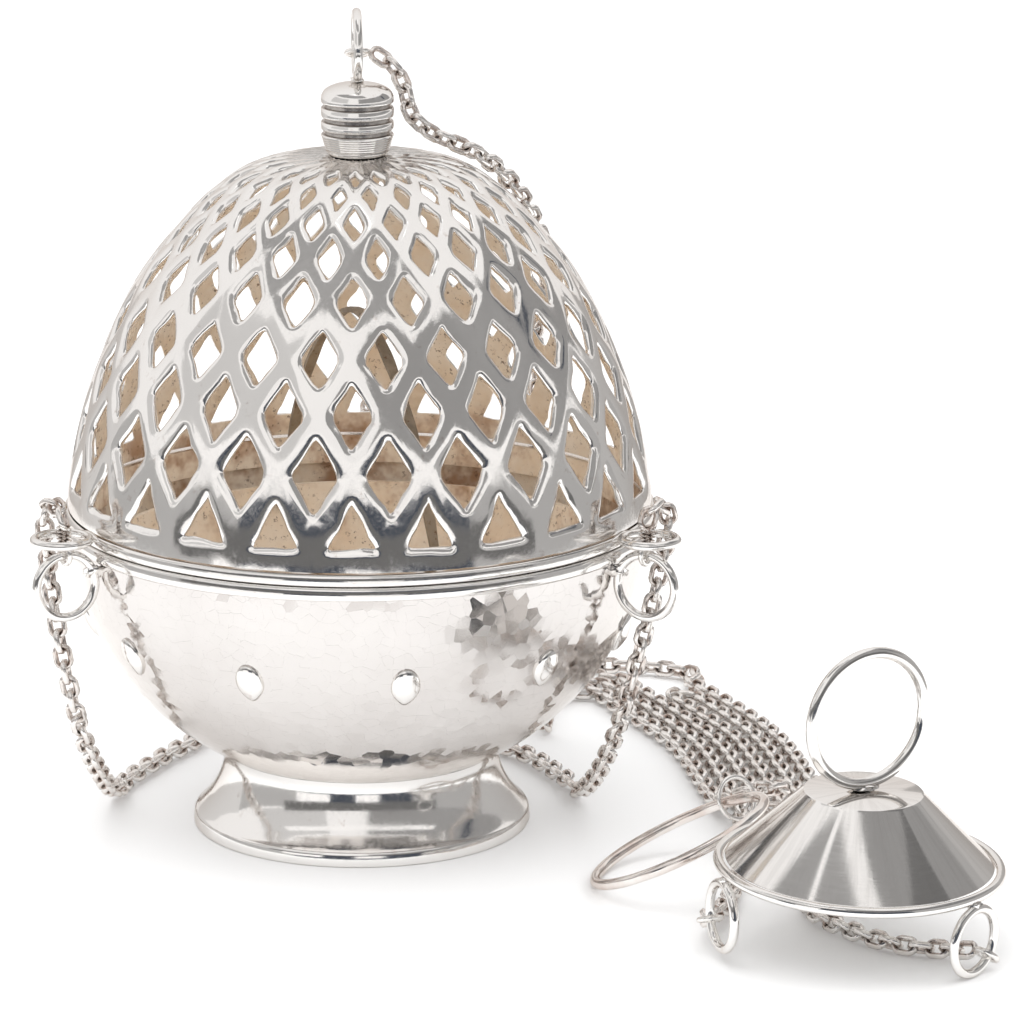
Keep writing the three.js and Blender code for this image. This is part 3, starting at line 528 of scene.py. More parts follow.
def lie(points):
    return [Vector((p[0], p[1], p[2] if len(p) > 2 else CHAIN_LIE)) for p in points]


FOLD = [(0, 77), (0, 77.8), (0.6, 79), (2.2, 80.3), (4.7, 80.9), (7.3, 80), (9, 78.1), (9.6, 75.6)]
FOLD_SIDES = (-1, 1, -1)
FALLS = [
    [(-66.5, -30, 60), (-64.5, -32, 48), (-62.5, -31, 37), (-60.5, -24, 25), (-58.5, -8, 13), (-57, 6, 5),
     (-55.9, 14, 2.4), (-55.2, 17.5)],
    # Its middle stands back so that the pull ring can swing up beside it.
    [(65.5, -29, 62), (62.5, -30, 50), (59.5, -28.2, 37.5), (56.7, -19, 24.7), (53.6, -8.2, 13.8), (50.5, 5, 5.5),
     (48.6, 13.5, 2.4), (47.7, 17)],
    [(10, 74, 60), (11, 75, 45), (12.5, 77, 30), (14, 82, 15), (16.2, 89, 5.3), (19.2, 94.5, 2.4), (21, 97.2)],
]
LID_FALL = [
    (39.6, 56.6, 91.2), (39.8, 57, 75), (40, 57.4, 58), (40.6, 58.4, 38),
    (41.2, 59, 20), (41.6, 60.5, 8), (41.8, 64.5, 2.8), (41.8, 68),
]
SHOULDER = [(7.6, 6.6, 170.6), (10.2, 5.6, 166), (11.4, 5.2, 161), (14, 6, 157.4), (19, 7.4, 154.2)]
DRAPE = [(109, 149), (114, 145), (119, 138.5), (124.5, 130), (130, 119.5), (135.5, 109), (141.5, 100)]


def fold(ring):
    start = polar(FOLD_RADIUS, RING_AZIMUTHS[ring])
    aside = polar(FOLD_SIDES[ring], RING_AZIMUTHS[ring] + 90)
    return [Vector((start.x + along * aside.x, start.y + along * aside.y, z)) for along, z in FOLD]


def run_routes():
    return [
        [(-52, 28), (-47, 40), (-41.5, 51), (-37.5, 61), (-35, 70), (-31, 77), *hank((-24, 3), 79.6, 5),
         (13, 105), (32, 114.5), (50, 117), (64, 116.4), (73.5, 113), (79, 108), *lane(6), (107, -20), (111.5, -42)],
        [(43.5, 29), (37.5, 41), (29, 51), *hank((18, -24), 57.4, 4),
         (26, 74.6), (31.5, 81), (36, 92), (42, 99), (50, 101.4), (56, 99), *lane(2),
         (85.2, -8), (84.5, -20), (83, -50), (79, -74, 3), (75.4, -86, 4.8)],
        [(25.5, 102), (38, 107.5), (52, 107.8), (60, 103.5), *lane(3),
         *half_turn(lane(3)[-1], lane(4)[-1], (0.15, -0.99)), *lane(4)[1:][::-1],
         *half_turn(lane(4)[1], lane(5)[1], (-0.38, 0.92)), *lane(5)[1:],
         (101, -20), (100, -45), (97, -65), (99, -77), (104, -85.5), (109, -92), (116, -97.5), (123, -99.8)],
    ]


def lid_run_route():
    return [
        (41.6, 76), (43, 85), (46.5, 91.5), (51, 94.3), *lane(1)[:-1], (80.6, 3, 2.6),
        (81.2, -3, 4.4), (83.6, -10, 7.6), (88, -14, 10.4), (92.6, -18.5, 12.6), (93.4, -24, 14),
    ]


def after(fall):
    """The straight start of a run beyond a fall's end."""
    way = fall[-1] - fall[-2]
    way.z = 0
    way.normalize()
    return [fall[-1] + way * CHAIN_GAP, fall[-1] + way * (CHAIN_GAP + CHAIN_STEP)]


def boss_hook(azimuth, degrees, inward, outward):
    across, out = polar(1, azimuth + 90), polar(1, azimuth)
    spoke = across * math.cos(math.radians(degrees))
    spoke.z = math.sin(math.radians(degrees))
    reach, drop = BOSS_EYE_PLACE
    point = polar(reach, azimuth, drop) + spoke * 7
    way = out.cross(spoke)
    leaving = (spoke * outward - out * inward).normalized()
    turn = BOSS.to_3x3()
    return BOSS @ point, turn @ way, turn @ leaving


BOSS_HOOKS = [
    boss_hook(azimuth, *bend)
    for azimuth, bend in zip(BOSS_EYE_AZIMUTHS, ((205, 0.3, 1), (-40, 1, 0), (-90, -1, 0)))
]
GOALS = (2, 0, 1)


def beyond(hook):
    point, _, leaving = hook
    return point + leaving * (LINK_SLACK + 3.5)


def eye_hook():
    spoke = polar(1, 184) * math.cos(math.radians(25))
    spoke.z = -math.sin(math.radians(25))
    eye = polar(1, 94)
    return Vector((0, 0, EYE_HEIGHT)) + spoke * 7, eye.cross(spoke), eye


def pull_wire(degrees):
    mean = (PULL_OUTER - PULL_WIRE) / 2
    along, across = math.cos(math.radians(degrees)), math.sin(math.radians(degrees))
    point = PULL_LOW + PULL_RISE * mean * (1 + along) + PULL_ACROSS * mean * across
    return point, PULL_ACROSS * along - PULL_RISE * across


def jump_place():
    """The middle of the jump ring, and the way of the pull ring's wire in it."""
    wire, way = pull_wire(PULL_TURN)
    return wire + JUMP_AIM * (JUMP_OUTER / 2 - JUMP_WIRE - PULL_WIRE / 2 - 0.3), way


# The dome's own surface


class DomeFace:
    """Places on the lid's dome by azimuth, length along its outline and distance out."""

    def __init__(self):
        points = [Vector((r, DOME_BASE + z)) for r, z in DOME_OUTLINE]
        self.line, self.length = spaced(points, 1200)

    def at(self, arc):
        place = max(0.0, min(1.0, arc / self.length)) * 1200
        k = min(int(place), 1199)
        point = self.line[k].lerp(self.line[k + 1], place - k)
        return point, (self.line[min(1200, k + 1)] - self.line[max(0, k - 1)]).normalized()

    def where(self, reached):
        return next(k for k, point in enumerate(self.line) if reached(point)) * self.length / 1200

    def point(self, azimuth, arc, out=0.0):
        place, along = self.at(arc)
        return polar(place.x + out * along.y, azimuth, place.y - out * along.x)


# Settings


def size_setting(name, description, default):
    return bpy.props.FloatProperty(name=name, description=description, default=default, unit="LENGTH")


def colour_setting(name, description, default):
    return bpy.props.FloatVectorProperty(
        name=name, description=description, subtype="COLOR", default=default, min=0, max=1)


class ThuribleBody(bpy.types.PropertyGroup):
    facets: bpy.props.IntProperty(
        name="Facets", description="Steps round the turned pieces", default=160, min=24, max=256)
    bowl_wall: size_setting("Bowl wall", "Thickness of the bowl's wall", 0.0016)
    stud_count: bpy.props.IntProperty(
        name="Studs", description="Almond studs round the bowl", default=11, min=0, max=24)
    stud_rise: size_setting("Stud rise", "How far a stud stands out of the bowl", 0.0018)


class ThuribleLattice(bpy.types.PropertyGroup):
    wall: size_setting("Wall", "Thickness of the pierced dome", 0.0015)
    bevel: size_setting("Bevel", "Width of the bevel round each hole", 0.0013)
    corner: size_setting("Corner", "Rounding of the holes' corners", 0.0026)
    unevenness: size_setting("Unevenness", "How far the hand-cut edges wander", 0.00025)


class ThuribleChain(bpy.types.PropertyGroup):
    link_length: size_setting("Link length", "Outer length of a chain link", 0.0061)
    link_width: size_setting("Link width", "Outer width of a chain link", 0.0046)
    link_wire: size_setting("Link wire", "Thickness of a link's wire", 0.00128)
    pitch: size_setting("Pitch", "Length of chain that each link adds", 0.00352)


class ThuribleFinish(bpy.types.PropertyGroup):
    silver: colour_setting("Silver", "Polished silver", (0.91, 0.895, 0.875))
    worn: colour_setting("Worn silver", "Rubbed silver of chains and rings", (0.93, 0.91, 0.885))
    tarnish: colour_setting("Tarnish", "Pink-brown tarnish", (0.48, 0.36, 0.30))
    heated: colour_setting("Heated metal", "Tan heat stain inside", (0.99, 0.91, 0.80))
    scorched: colour_setting("Scorched metal", "Browner patches inside", (0.92, 0.78, 0.62))
    hammering: bpy.props.FloatProperty(
        name="Hammering", description="Depth of the hammer marks", subtype="FACTOR", default=1.0, min=0, max=1)


class ThuribleStage(bpy.types.PropertyGroup):
    table: colour_setting("Table", "Colour of the table", (0.95, 0.95, 0.95))
    key_power: bpy.props.FloatProperty(
        name="Key light", description="Power of the large soft light", default=5.0, min=0, unit="POWER")
    fill: bpy.props.FloatProperty(
        name="Fill", description="Strength of the light from all round", default=1.2, min=0)
    distance: size_setting("Camera distance", "From the camera to the object's axis", 1.25)


# Operators


class ThuribleOperator:
    bl_options = {"REGISTER", "UNDO"}

    def execute(self, context):
        self.build(context.scene)
        return {"FINISHED"}


class THURIBLE_OT_stage(ThuribleOperator, bpy.types.Operator):
    """Lays the table and sets the lights and the camera"""

    bl_idname = "thurible.stage"
    bl_label = "Stage"

    def build(self, scene):
        settings = scene.thurible_stage
        self.table(settings)
        self.cards()
        self.surroundings(scene, settings)
        self.lamp("key_light", (-0.35, -0.45, 1.25), (1.1, 1.1), settings.key_power)
        self.lamp("right_light", (1.0, -0.3, 0.8), (0.5, 0.9), settings.key_power * 0.28)
        camera = scene.camera = linked("camera", bpy.data.cameras.new("camera"))
        camera.data.lens, camera.data.sensor_width, camera.data.clip_end = LENS, SENSOR, 30
        camera.location = (CAMERA_RIGHT, -settings.distance, CAMERA_HEIGHT)
        camera.rotation_euler = (math.radians(90 - CAMERA_TILT), 0, 0)
        scene.view_settings.view_transform = "Standard"

    def table(self, settings):
        bm = bmesh.new()
        bmesh.ops.create_grid(bm, x_segments=2, y_segments=2, size=6)
        table = new_object("table", bm)
        n = Metal("table_cloth_white")
        n.surface(rgba(settings.table), 0.7, n.bump(n.noise(300, 2), 0.00002, 0.2), 0.0)
        n.shader.inputs["Specular IOR Level"].default_value = 0.2
        table.data.materials.append(n.material)

    def cards(self):
        """Dark and grey cards of the room, seen only in the polished metal."""
        cards = [
            # distance, middle azimuth, spread, lowest and highest elevation, grey
            (0.155, 0, 120, 13, 20, 1.0),
            (0.205, -36, 26, -18, -8, 1.1), (0.205, 6, 18, -18, -8, 1.1), (0.21, 0, 120, -7, 3, 0.15),
            (0.37, 0, 84, -12, 10, 0.075), (0.37, 74, 64, -12, 11, 0.42), (0.37, -74, 64, -12, 8, 0.46),
            (0.38, 128, 44, -12, 14, 0.5), (0.38, -128, 44, -12, 10, 0.7),
            (0.54, 97, 7, 24, 42, 0.07), (0.55, 66, 120, 14, 48, 0.3), (0.55, -58, 60, 14, 46, 0.62),
            (0.56, -31, 142, 54, 77, 0.33),
            (0.75, 0, 359, 4, 84, 0.93),
        ]
        for number, (reach, azimuth, spread, low, high, grey) in enumerate(cards):
            bm = bmesh.new()
            verts = []
            for k in range(9):
                up = math.radians(low + (high - low) * k / 8)
                place = polar(reach * math.cos(up), azimuth - spread / 2, 0.08 + reach * math.sin(up))
                verts.append(bm.verts.new((place.x, place.y, max(0.002, place.z))))
            edges = [bm.edges.new(pair) for pair in zip(verts, verts[1:])]
            spin(bm, verts + edges, math.radians(spread), 24)
            card = new_object(f"card_{number}", bm)
            n = Metal(f"card_paper_{number}")
            tint = 0.15 if grey < 0.1 else 0.01
            n.tree.nodes.remove(n.shader)
            glow = n.add("ShaderNodeEmission", {"Color": (grey * (1.03 - tint), grey, grey * (0.97 + 2 * tint), 1)})
            n.tree.links.new(glow.outputs[0], n.tree.nodes["Material Output"].inputs["Surface"])
            card.data.materials.append(n.material)
            card.visible_camera = card.visible_diffuse = card.visible_shadow = False
            card.visible_transmission = card.visible_volume_scatter = False

    def surroundings(self, scene, settings):
        world = bpy.data.worlds.new("white_room")
        scene.world = world
        n = Nodes(world)
        path = n.add("ShaderNodeLightPath").outputs
        seen = n.math("MAXIMUM", path["Is Camera Ray"], path["Is Glossy Ray"])
        level = n.add("ShaderNodeMapRange", {"Value": seen, "To Min": settings.fill, "To Max": 1.0})
        back = n.tree.nodes["Background"].inputs
        n.set(back["Strength"], level.outputs["Result"])
        n.set(back["Color"], (1, 1, 1, 1))

    def lamp(self, name, place, size, power):
        data = bpy.data.lights.new(name, "AREA")
        data.shape = "RECTANGLE"
        data.size, data.size_y = size
        data.energy = power
        lamp = linked(name, data)
        lamp.location = place
        lamp.rotation_euler = (Vector((0.03, 0, 0.07)) - Vector(place)).to_track_quat("-Z", "Y").to_euler()


class THURIBLE_OT_foot(ThuribleOperator, bpy.types.Operator):
    """Spins the hollow foot"""

    bl_idname = "thurible.foot"
    bl_label = "Foot"

    def build(self, scene):
        spool = smooth_outline(
            [(37.2, 3.4), (36.2, 4.4), (33.9, 7.2), (31.9, 11), (30.8, 15), (30.95, under_bowl(30.95, 0.02))], 16)
        hollow = smooth_outline([(29.6, under_bowl(29.6, 0.02)), (29.4, 12.6), (30.6, 9), (33, 5.4), (35.8, 0)], 10)
        profile = [(37.5, 0), (37.85, 0.35), (37.9, 1.0), (37.75, 2.6), (37.45, 3.25), *spool, *hollow]
        bm = turned(bmesh.new(), profile, scene.thurible_body.facets)
        finish_piece("foot_ring", bm, ["polished"], "base", ["foot"], 50)


class THURIBLE_OT_bowl(ThuribleOperator, bpy.types.Operator):
    """Spins the hammered bowl and sets its almond studs"""

    bl_idname = "thurible.bowl"
    bl_label = "Bowl"

    def build(self, scene):
        body = scene.thurible_body
        wall = body.bowl_wall / MM
        outside = ellipse_outline(BOWL_RADIUS, BOWL_DEPTH, MOUTH, 44)[::-1]
        inside = ellipse_outline(BOWL_RADIUS - wall, BOWL_DEPTH - wall, MOUTH, 24)
        bm = turned(bmesh.new(), [*outside, *inside], body.facets, closed=False)
        stain_inside(bm, BOWL_RADIUS)
        finish_piece("hammered_bowl", bm, ["hammered", "heated"], "base", ["bowl"], 50)
        self.studs(body)

    def studs(self, body):
        bm = bmesh.new()
        slope = math.atan2(bowl_radius(STUD_HEIGHT + 1) - bowl_radius(STUD_HEIGHT - 1), 2)
        for k in range(body.stud_count):
            made = bmesh.ops.create_uvsphere(bm, u_segments=28, v_segments=18, radius=1)["verts"]
            for vert in made:
                low = max(0.0, -vert.co.z)
                vert.co.x *= 1 - 0.42 * low * low
                edge = 1 - min(1.0, math.hypot(vert.co.x, vert.co.z))
                vert.co.y *= 0.8 + 0.2 * edge
            bmesh.ops.scale(bm, vec=(3.2, body.stud_rise / MM, 4.8), verts=made)
            turn = Matrix.Rotation(math.radians(STUD_PHASE + 360 * k / body.stud_count), 4, "Z")
            out = Matrix.Translation((0, -bowl_radius(STUD_HEIGHT) - 0.05, STUD_HEIGHT))
            place = turn @ out @ Matrix.Rotation(slope, 4, "X")
            bmesh.ops.transform(bm, matrix=place, verts=made)
        finish_piece("bowl_studs", bm, ["polished"], "base", sharp=0)


class THURIBLE_OT_mouth_band(ThuribleOperator, bpy.types.Operator):
    """Spins the smooth band round the bowl's mouth"""

    bl_idname = "thurible.mouth_band"
    bl_label = "Mouth band"

    def build(self, scene):
        inner = BOWL_RADIUS + 0.3
        profile = [(inner + out, z) for out, z in (
            (0, 68.1), (0.45, 68.2), (0.68, 68.6), (0.7, 69.4), (0.66, 70.4), (0.45, 70.85), (0, MOUTH))]
        bm = turned(bmesh.new(), profile, scene.thurible_body.facets)
        finish_piece("mouth_band", bm, ["polished"], "base", ["bowl_rim"], 50)


class THURIBLE_OT_bowl_rings(ThuribleOperator, bpy.types.Operator):
    """Bends the three upright rings of the bowl and solders them on"""

    bl_idname = "thurible.bowl_rings"
    bl_label = "Bowl rings"

    def build(self, scene):
        reach, height = BOWL_RING_PLACE
        for number, azimuth in enumerate(RING_AZIMUTHS, 1):
            bm = bmesh.new()
            wire_ring(bm, RING_OUTER, RING_WIRE, facing(polar(reach, azimuth, height), polar(1, azimuth + 90)), 72, 16)
            blob(bm, polar(65.6, azimuth, 66.2), (1.5, 1.1, 2.4), polar(1, azimuth, 0.15), 0.5)
            finish_ring(f"upright_ring_{number}", bm, "base", f"bowl_ring_{number}")
            top = polar(reach, azimuth, height + 7)
            round_link(f"first_link_{number}", top + UP * LINK_SLACK, polar(1, azimuth), "base", f"bowl_link_{number}")


class THURIBLE_OT_fire_pan(ThuribleOperator, bpy.types.Operator):
    """Spins the loose fire pan and rivets its bail on"""

    bl_idname = "thurible.fire_pan"
    bl_label = "Fire pan and bail"

    def build(self, scene):
        outside = ellipse_outline(58, 59.4, 62.8, 30, 22)
        inside = ellipse_outline(56.7, 58.1, 64, 30, 21)
        rim = outside[0][0] + 0.2
        lip = [(rim, 62.9), (rim + 0.05, 63.5), (rim - 0.1, 64)]
        profile = [(0, outside[-1][1]), *outside[::-1], *lip, *inside, (0, inside[-1][1])]
        bm = turned(bmesh.new(), profile, scene.thurible_body.facets, closed=False)
        for vert in bm.verts:
            if vert.co.z < 62:
                vert.co *= 1 + 0.0012 * noise.noise(vert.co * 0.05)
        finish_piece("pan", bm, ["heated"], "pan", ["fire_pan"], 50)
        self.bail()

    def bail(self):
        half = [(54.2, 0), (51.6, 7), (48, 14.5), (36.7, 34), (19.3, 50), (0, 57)]
        marks = [*half, *[(-x, z) for x, z in half[-2::-1]]]
        line = spaced([Vector(p) for p in marks], 60)[0]
        bm = bmesh.new()
        base = Matrix.Translation((0, 0, PIVOT_HEIGHT)) @ Matrix.Rotation(math.radians(BAIL_AZIMUTH - 90), 4, "Z")
        loops = []
        for k, point in enumerate(line):
            along = (line[min(60, k + 1)] - line[max(0, k - 1)]).normalized()
            side = Vector((-along.y, along.x))
            narrow = 1.05 + 0.15 * math.sin(k * 0.9)
            corners = [(0.5, -narrow), (0.62, 0.0), (0.5, narrow), (-0.5, narrow), (-0.62, 0.0), (-0.5, -narrow)]
            places = [base @ Vector((point.x + side.x * a, b, point.y + side.y * a)) for a, b in corners]
            loops.append([bm.verts.new(place) for place in places])
        for a, b in zip(loops, loops[1:]):
            pairs = [(ring[i - 1], ring[i]) for ring in (a, b) for i in range(6)]
            bmesh.ops.bridge_loops(bm, edges=[bm.edges.get(pair) or bm.edges.new(pair) for pair in pairs])
        bmesh.ops.contextual_create(bm, geom=loops[0])
        bmesh.ops.contextual_create(bm, geom=loops[-1])
        bmesh.ops.recalc_face_normals(bm, faces=bm.faces)
        for side in (1, -1):
            pin = bmesh.ops.create_cone(bm, cap_ends=True, segments=20, radius1=1.1, radius2=1.1, depth=5.0)["verts"]
            turn = base @ Matrix.Translation((side * (BAIL_REACH - 2.2), 0, 0)) @ Matrix.Rotation(math.pi / 2, 4, "Y")
            bmesh.ops.transform(bm, matrix=turn, verts=pin)
        finish_piece("bail_strip", bm, ["scorched"], "bail", ["bail"], 45)


class THURIBLE_OT_lid_band(ThuribleOperator, bpy.types.Operator):
    """Spins the band and inner lip under the lid's dome"""

    bl_idname = "thurible.lid_band"
    bl_label = "Lid band"

    def build(self, scene):
        seat, outer, inner = 71.3, 62.5, 61.4
        edge = smooth_outline([(radius, seat + up) for radius, up in (
            (65.3, 0), (65.72, 0.35), (65.8, 1.2), (65.7, 2.1), (65.35, 2.55), (64.9, 2.6))], 10)
        profile = [(inner, seat - 3.8), (outer, seat - 3.8), (outer, seat), *edge, (inner, seat + 2.6)]
        bm = turned(bmesh.new(), profile, scene.thurible_body.facets)
        stain_inside(bm, inner + 0.1)
        finish_piece("lid_band", bm, ["polished", "heated"], "lid", ["lid_rim"], 50)


class THURIBLE_OT_lattice(ThuribleOperator, bpy.types.Operator):
    """Pierces the dome with its lattice of bevelled holes"""

    bl_idname = "thurible.lattice"
    bl_label = "Pierced dome"

    SIDE = (0.0, 0.07, 0.16, 0.3, 0.5, 0.7, 0.84, 0.93)

    def build(self, scene):
        lattice = scene.thurible_lattice
        self.face = DomeFace()
        self.wall, self.bevel, self.corner = lattice.wall / MM, lattice.bevel / MM, lattice.corner / MM
        self.half = 180 / COLUMNS
        arcs = [self.face.where(lambda p, z=z: p.y >= z) for z in HOLE_HEIGHTS]
        base = self.face.where(lambda p: p.y >= DOME_BASE + 2.6)
        crown = self.face.where(lambda p: p.x <= 2.95)
        sill = self.face.where(lambda p: p.y >= TRIANGLE_FOOT)
        bm = bmesh.new()
        self.order = bm.verts.layers.int.new("order")
        self.cut = bm.verts.layers.float.new("cut")
        h = self.half
        low = [(-h, base), (h, base), (h, arcs[0]), (0, arcs[1]), (-h, arcs[0])]
        r0 = self.face.at(sill)[0].x
        wide = math.degrees(HOLE_WIDTHS[0] / 2 / r0)
        triangle = [(-wide, sill), (wide, sill), (0, sill + HOLE_LENGTHS[0])]
        self.cell(bm, 0, low, [8, 3, 8, 8, 3], triangle, [8, 11, 11], sill + 4)
        for k in range(1, len(arcs)):
            middle = 0 if k % 2 == 0 else h
            below, above = arcs[k - 1], arcs[k + 1] if k + 1 < len(arcs) else None
            wide = math.degrees(HOLE_WIDTHS[k] / 2 / self.face.at(arcs[k])[0].x)
            up = HOLE_LENGTHS[k] / 2
            hole = [(0, arcs[k] - up), (wide, arcs[k]), (0, arcs[k] + up), (-wide, arcs[k])]
            top, parts = ([(0, above)], [8] * 4) if above else ([(h, crown), (-h, crown)], [8, 4, 8, 4, 8])
            sides = [(0, below), (h, arcs[k]), *top, (-h, arcs[k])]
            self.cell(bm, middle, sides, parts, hole, [8] * 4, arcs[k])
        bmesh.ops.remove_doubles(bm, verts=bm.verts, dist=1e-3)
        everything = [*bm.verts, *bm.edges, *bm.faces]
        spin(bm, everything, math.tau * (COLUMNS - 1) / COLUMNS, COLUMNS - 1, use_duplicate=True)
        bmesh.ops.remove_doubles(bm, verts=bm.verts, dist=2e-3)
        self.wander(bm, lattice.unevenness / MM)
        open_edges = [edge for edge in bm.edges if edge.is_boundary]
        for lower in (True, False):
            bmesh.ops.bridge_loops(bm, edges=[e for e in open_edges if (e.verts[0].co.z < 90) == lower])
        bmesh.ops.recalc_face_normals(bm, faces=bm.faces)
        finish_piece("pierced_dome", bm, ["polished", "heated"], "lid", ["lid_dome"], 60)

    def cell(self, bm, middle, sides, side_parts, hole, hole_parts, centre):
        """One hole and the metal round it, from the outer face through the cut to the inner face."""
        scale = math.radians(1) * self.face.at(centre)[0].x
        border = self.along(sides, side_parts)
        flat = [Vector((a * scale, b)) for a, b in hole]
        size = min((flat[i] - flat[i - 1]).length for i in range(len(flat)))
        edge = self.rounded(flat, hole_parts, min(self.corner, 0.3 * size))
        bevel = min(self.bevel, 0.09 * size + 0.1)
        count = len(border)
        loops = [(None, 0.0, 0.0)]
        loops += [(bevel * (grow - 0.7), depth, cut) for grow, depth, cut in (
            (1.75, 0.03, 0.2), (1.35, 0.08, 0.4), (1.0, 0.16, 0.5), (0.7, 0.27, 0.6),
            (0.4, 0.43, 0.8), (0.14, 0.65, 1.0), (0.0, 0.92, 1.4))]
        loops += [(0.05 - 0.7 * bevel, self.wall - 0.12, 1.3), (0.2 - 0.7 * bevel, self.wall, 0.6), (None, self.wall, 0.0)]
        verts = [bm.verts.new(self.face.point(middle + azimuth, arc)) for azimuth, arc in border]
        for k, vert in enumerate(verts):
            vert[self.order] = k
        edges = [bm.edges.new((verts[k - 1], verts[k])) for k in range(count)]
        for level, (grow, depth, cut) in enumerate(loops[1:], 1):
            result = bmesh.ops.extrude_edge_only(bm, edges=edges)["geom"]
            edges = [item for item in result if isinstance(item, bmesh.types.BMEdge)]
            faces = [item for item in result if isinstance(item, bmesh.types.BMFace)]
            for vert in (item for item in result if isinstance(item, bmesh.types.BMVert)):
                k = vert[self.order]
                azimuth, arc = border[k]
                if grow is not None:
                    spot = edge[k] + self.outward(edge, k) * grow
                    azimuth, arc = spot.x / scale, spot.y
                vert.co = self.face.point(middle + azimuth, arc, -depth)
                vert[self.cut] = cut
            if level >= 9:
                for face in faces:
                    face.material_index = 1

    def along(self, corners, parts):
        """Points on straight sides, bunched towards the corners of the long ones."""
        points = []
        for k, count in enumerate(parts):
            a, b = Vector(corners[k]), Vector(corners[(k + 1) % len(corners)])
            shares = self.SIDE if count == 8 else [i / count for i in range(count)]
            points += [tuple(a.lerp(b, share)) for share in shares]
        return points

    def rounded(self, corners, parts, reach):
        """The hole's outline with its corners rounded."""
        points = []
        total = len(corners)
        for k, count in enumerate(parts):
            a, b = corners[k], corners[(k + 1) % total]
            length = (b - a).length
            shares = self.SIDE if count == 8 else [0.0, 0.05, 0.12, 0.21, 0.32, 0.44, 0.56, 0.68, 0.79, 0.88, 0.95][:count]
            for share in shares:
                near = share * length
                if near < reach:
                    points.append(self.corner_point(corners[k - 1], a, b, reach, near))
                elif length - near < reach:
                    points.append(self.corner_point(a, b, corners[(k + 2) % total], reach, near - length))
                else:
                    points.append(a.lerp(b, share))
        return points

    @staticmethod
    def corner_point(before, corner, beyond_it, reach, along):
        start = corner + (before - corner).normalized() * reach
        end = corner + (beyond_it - corner).normalized() * reach
        t = (along / reach + 1) / 2
        return start * (1 - t) ** 2 + corner * 2 * t * (1 - t) + end * t ** 2

    @staticmethod
    def outward(points, k):
        along = (points[(k + 1) % len(points)] - points[k - 1]).normalized()
        return Vector((along.y, -along.x))

    def wander(self, bm, amount):
        for vert in bm.verts:
            if vert[self.cut] > 0:
                shift = noise.noise_vector(vert.co * 0.22) * 0.7 + noise.noise_vector(vert.co * 0.9) * 0.3
                vert.co += shift * amount * 2 * vert[self.cut]


class THURIBLE_OT_lid_rings(ThuribleOperator, bpy.types.Operator):
    """Bends the three flat rings of the lid with their leaf-shaped tongues"""

    bl_idname = "thurible.lid_rings"
    bl_label = "Lid rings"

    def build(self, scene):
        reach, height = LID_RING_PLACE
        for number, azimuth in enumerate(RING_AZIMUTHS, 1):
            bm = bmesh.new()
            wire_ring(bm, 14, RING_WIRE, Matrix.Identity(4), 64, 16)
            leaf = bmesh.ops.create_uvsphere(bm, u_segments=32, v_segments=14, radius=1)["verts"]
            for vert in leaf:
                vert.co.z *= 1 - 0.35 * abs(vert.co.x)
                vert.co.y *= 1 - 0.5 * vert.co.x ** 2
            bmesh.ops.scale(bm, vec=(4.9, 1.15, 1.15), verts=leaf)
            bmesh.ops.translate(bm, vec=(0, reach - 67.0, 0), verts=leaf)
            place = Matrix.Translation(polar(reach, azimuth, height)) @ Matrix.Rotation(math.radians(azimuth), 4, "Z")
            bmesh.ops.transform(bm, matrix=place, verts=bm.verts)
            finish_ring(f"flat_ring_{number}", bm, "lid", f"lid_ring_{number}")


class THURIBLE_OT_finial(ThuribleOperator, bpy.types.Operator):
    """Spins the grooved finial and stands its eye on it"""

    bl_idname = "thurible.finial"
    bl_label = "Finial and eye"

    def build(self, scene):
        seat, radius = 152.5, 8.05
        profile = [(0, 148.8), (2.6, 148.8), (2.6, seat - 0.2), (6.1, seat - 0.28), (6.8, seat + 0.35)]
        for k in range(7):
            z = seat + 0.75 + k * 0.52
            wide = 6.9 + 0.16 * k
            profile += [(wide + 0.14, z), (wide + 0.14, z + 0.26), (wide - 0.08, z + 0.39)]
        for z in (157.4, 160.2, 163.3):
            profile += [(radius + out, z + up) for out, up in (
                (0, -0.75), (-0.18, -0.5), (-0.72, -0.3), (-0.75, 0.3), (-0.18, 0.5), (0, 0.75), (0.02, 1.1))]
        profile += smooth_outline(
            [(radius, 164.9), (radius - 0.25, 165.7), (radius - 1.0, 166.7), (5.2, 167.6), (2.6, 168.15), (0, 168.3)], 16)
        bm = turned(bmesh.new(), profile, 96, closed=False)
        for face in bm.faces:
            middle = face.calc_center_median()
            if 156.5 < middle.z < 164.2 and 5 < math.hypot(middle.x, middle.y) < radius - 0.4:
                face.material_index = 1
        finish_piece("grooved_finial", bm, ["polished", "shaded"], "lid", ["finial"], 40)
        bm = bmesh.new()
        middle = Vector((0, 0, EYE_HEIGHT))
        wire_ring(bm, RING_OUTER, RING_WIRE, facing(middle, polar(1, 94)), 72, 16)
        blob(bm, (0, 0, 168.75), (1.5, 1.5, 0.75), UP, 0.4)
        finish_ring("upright_eye", bm, "lid", "lid_eye")


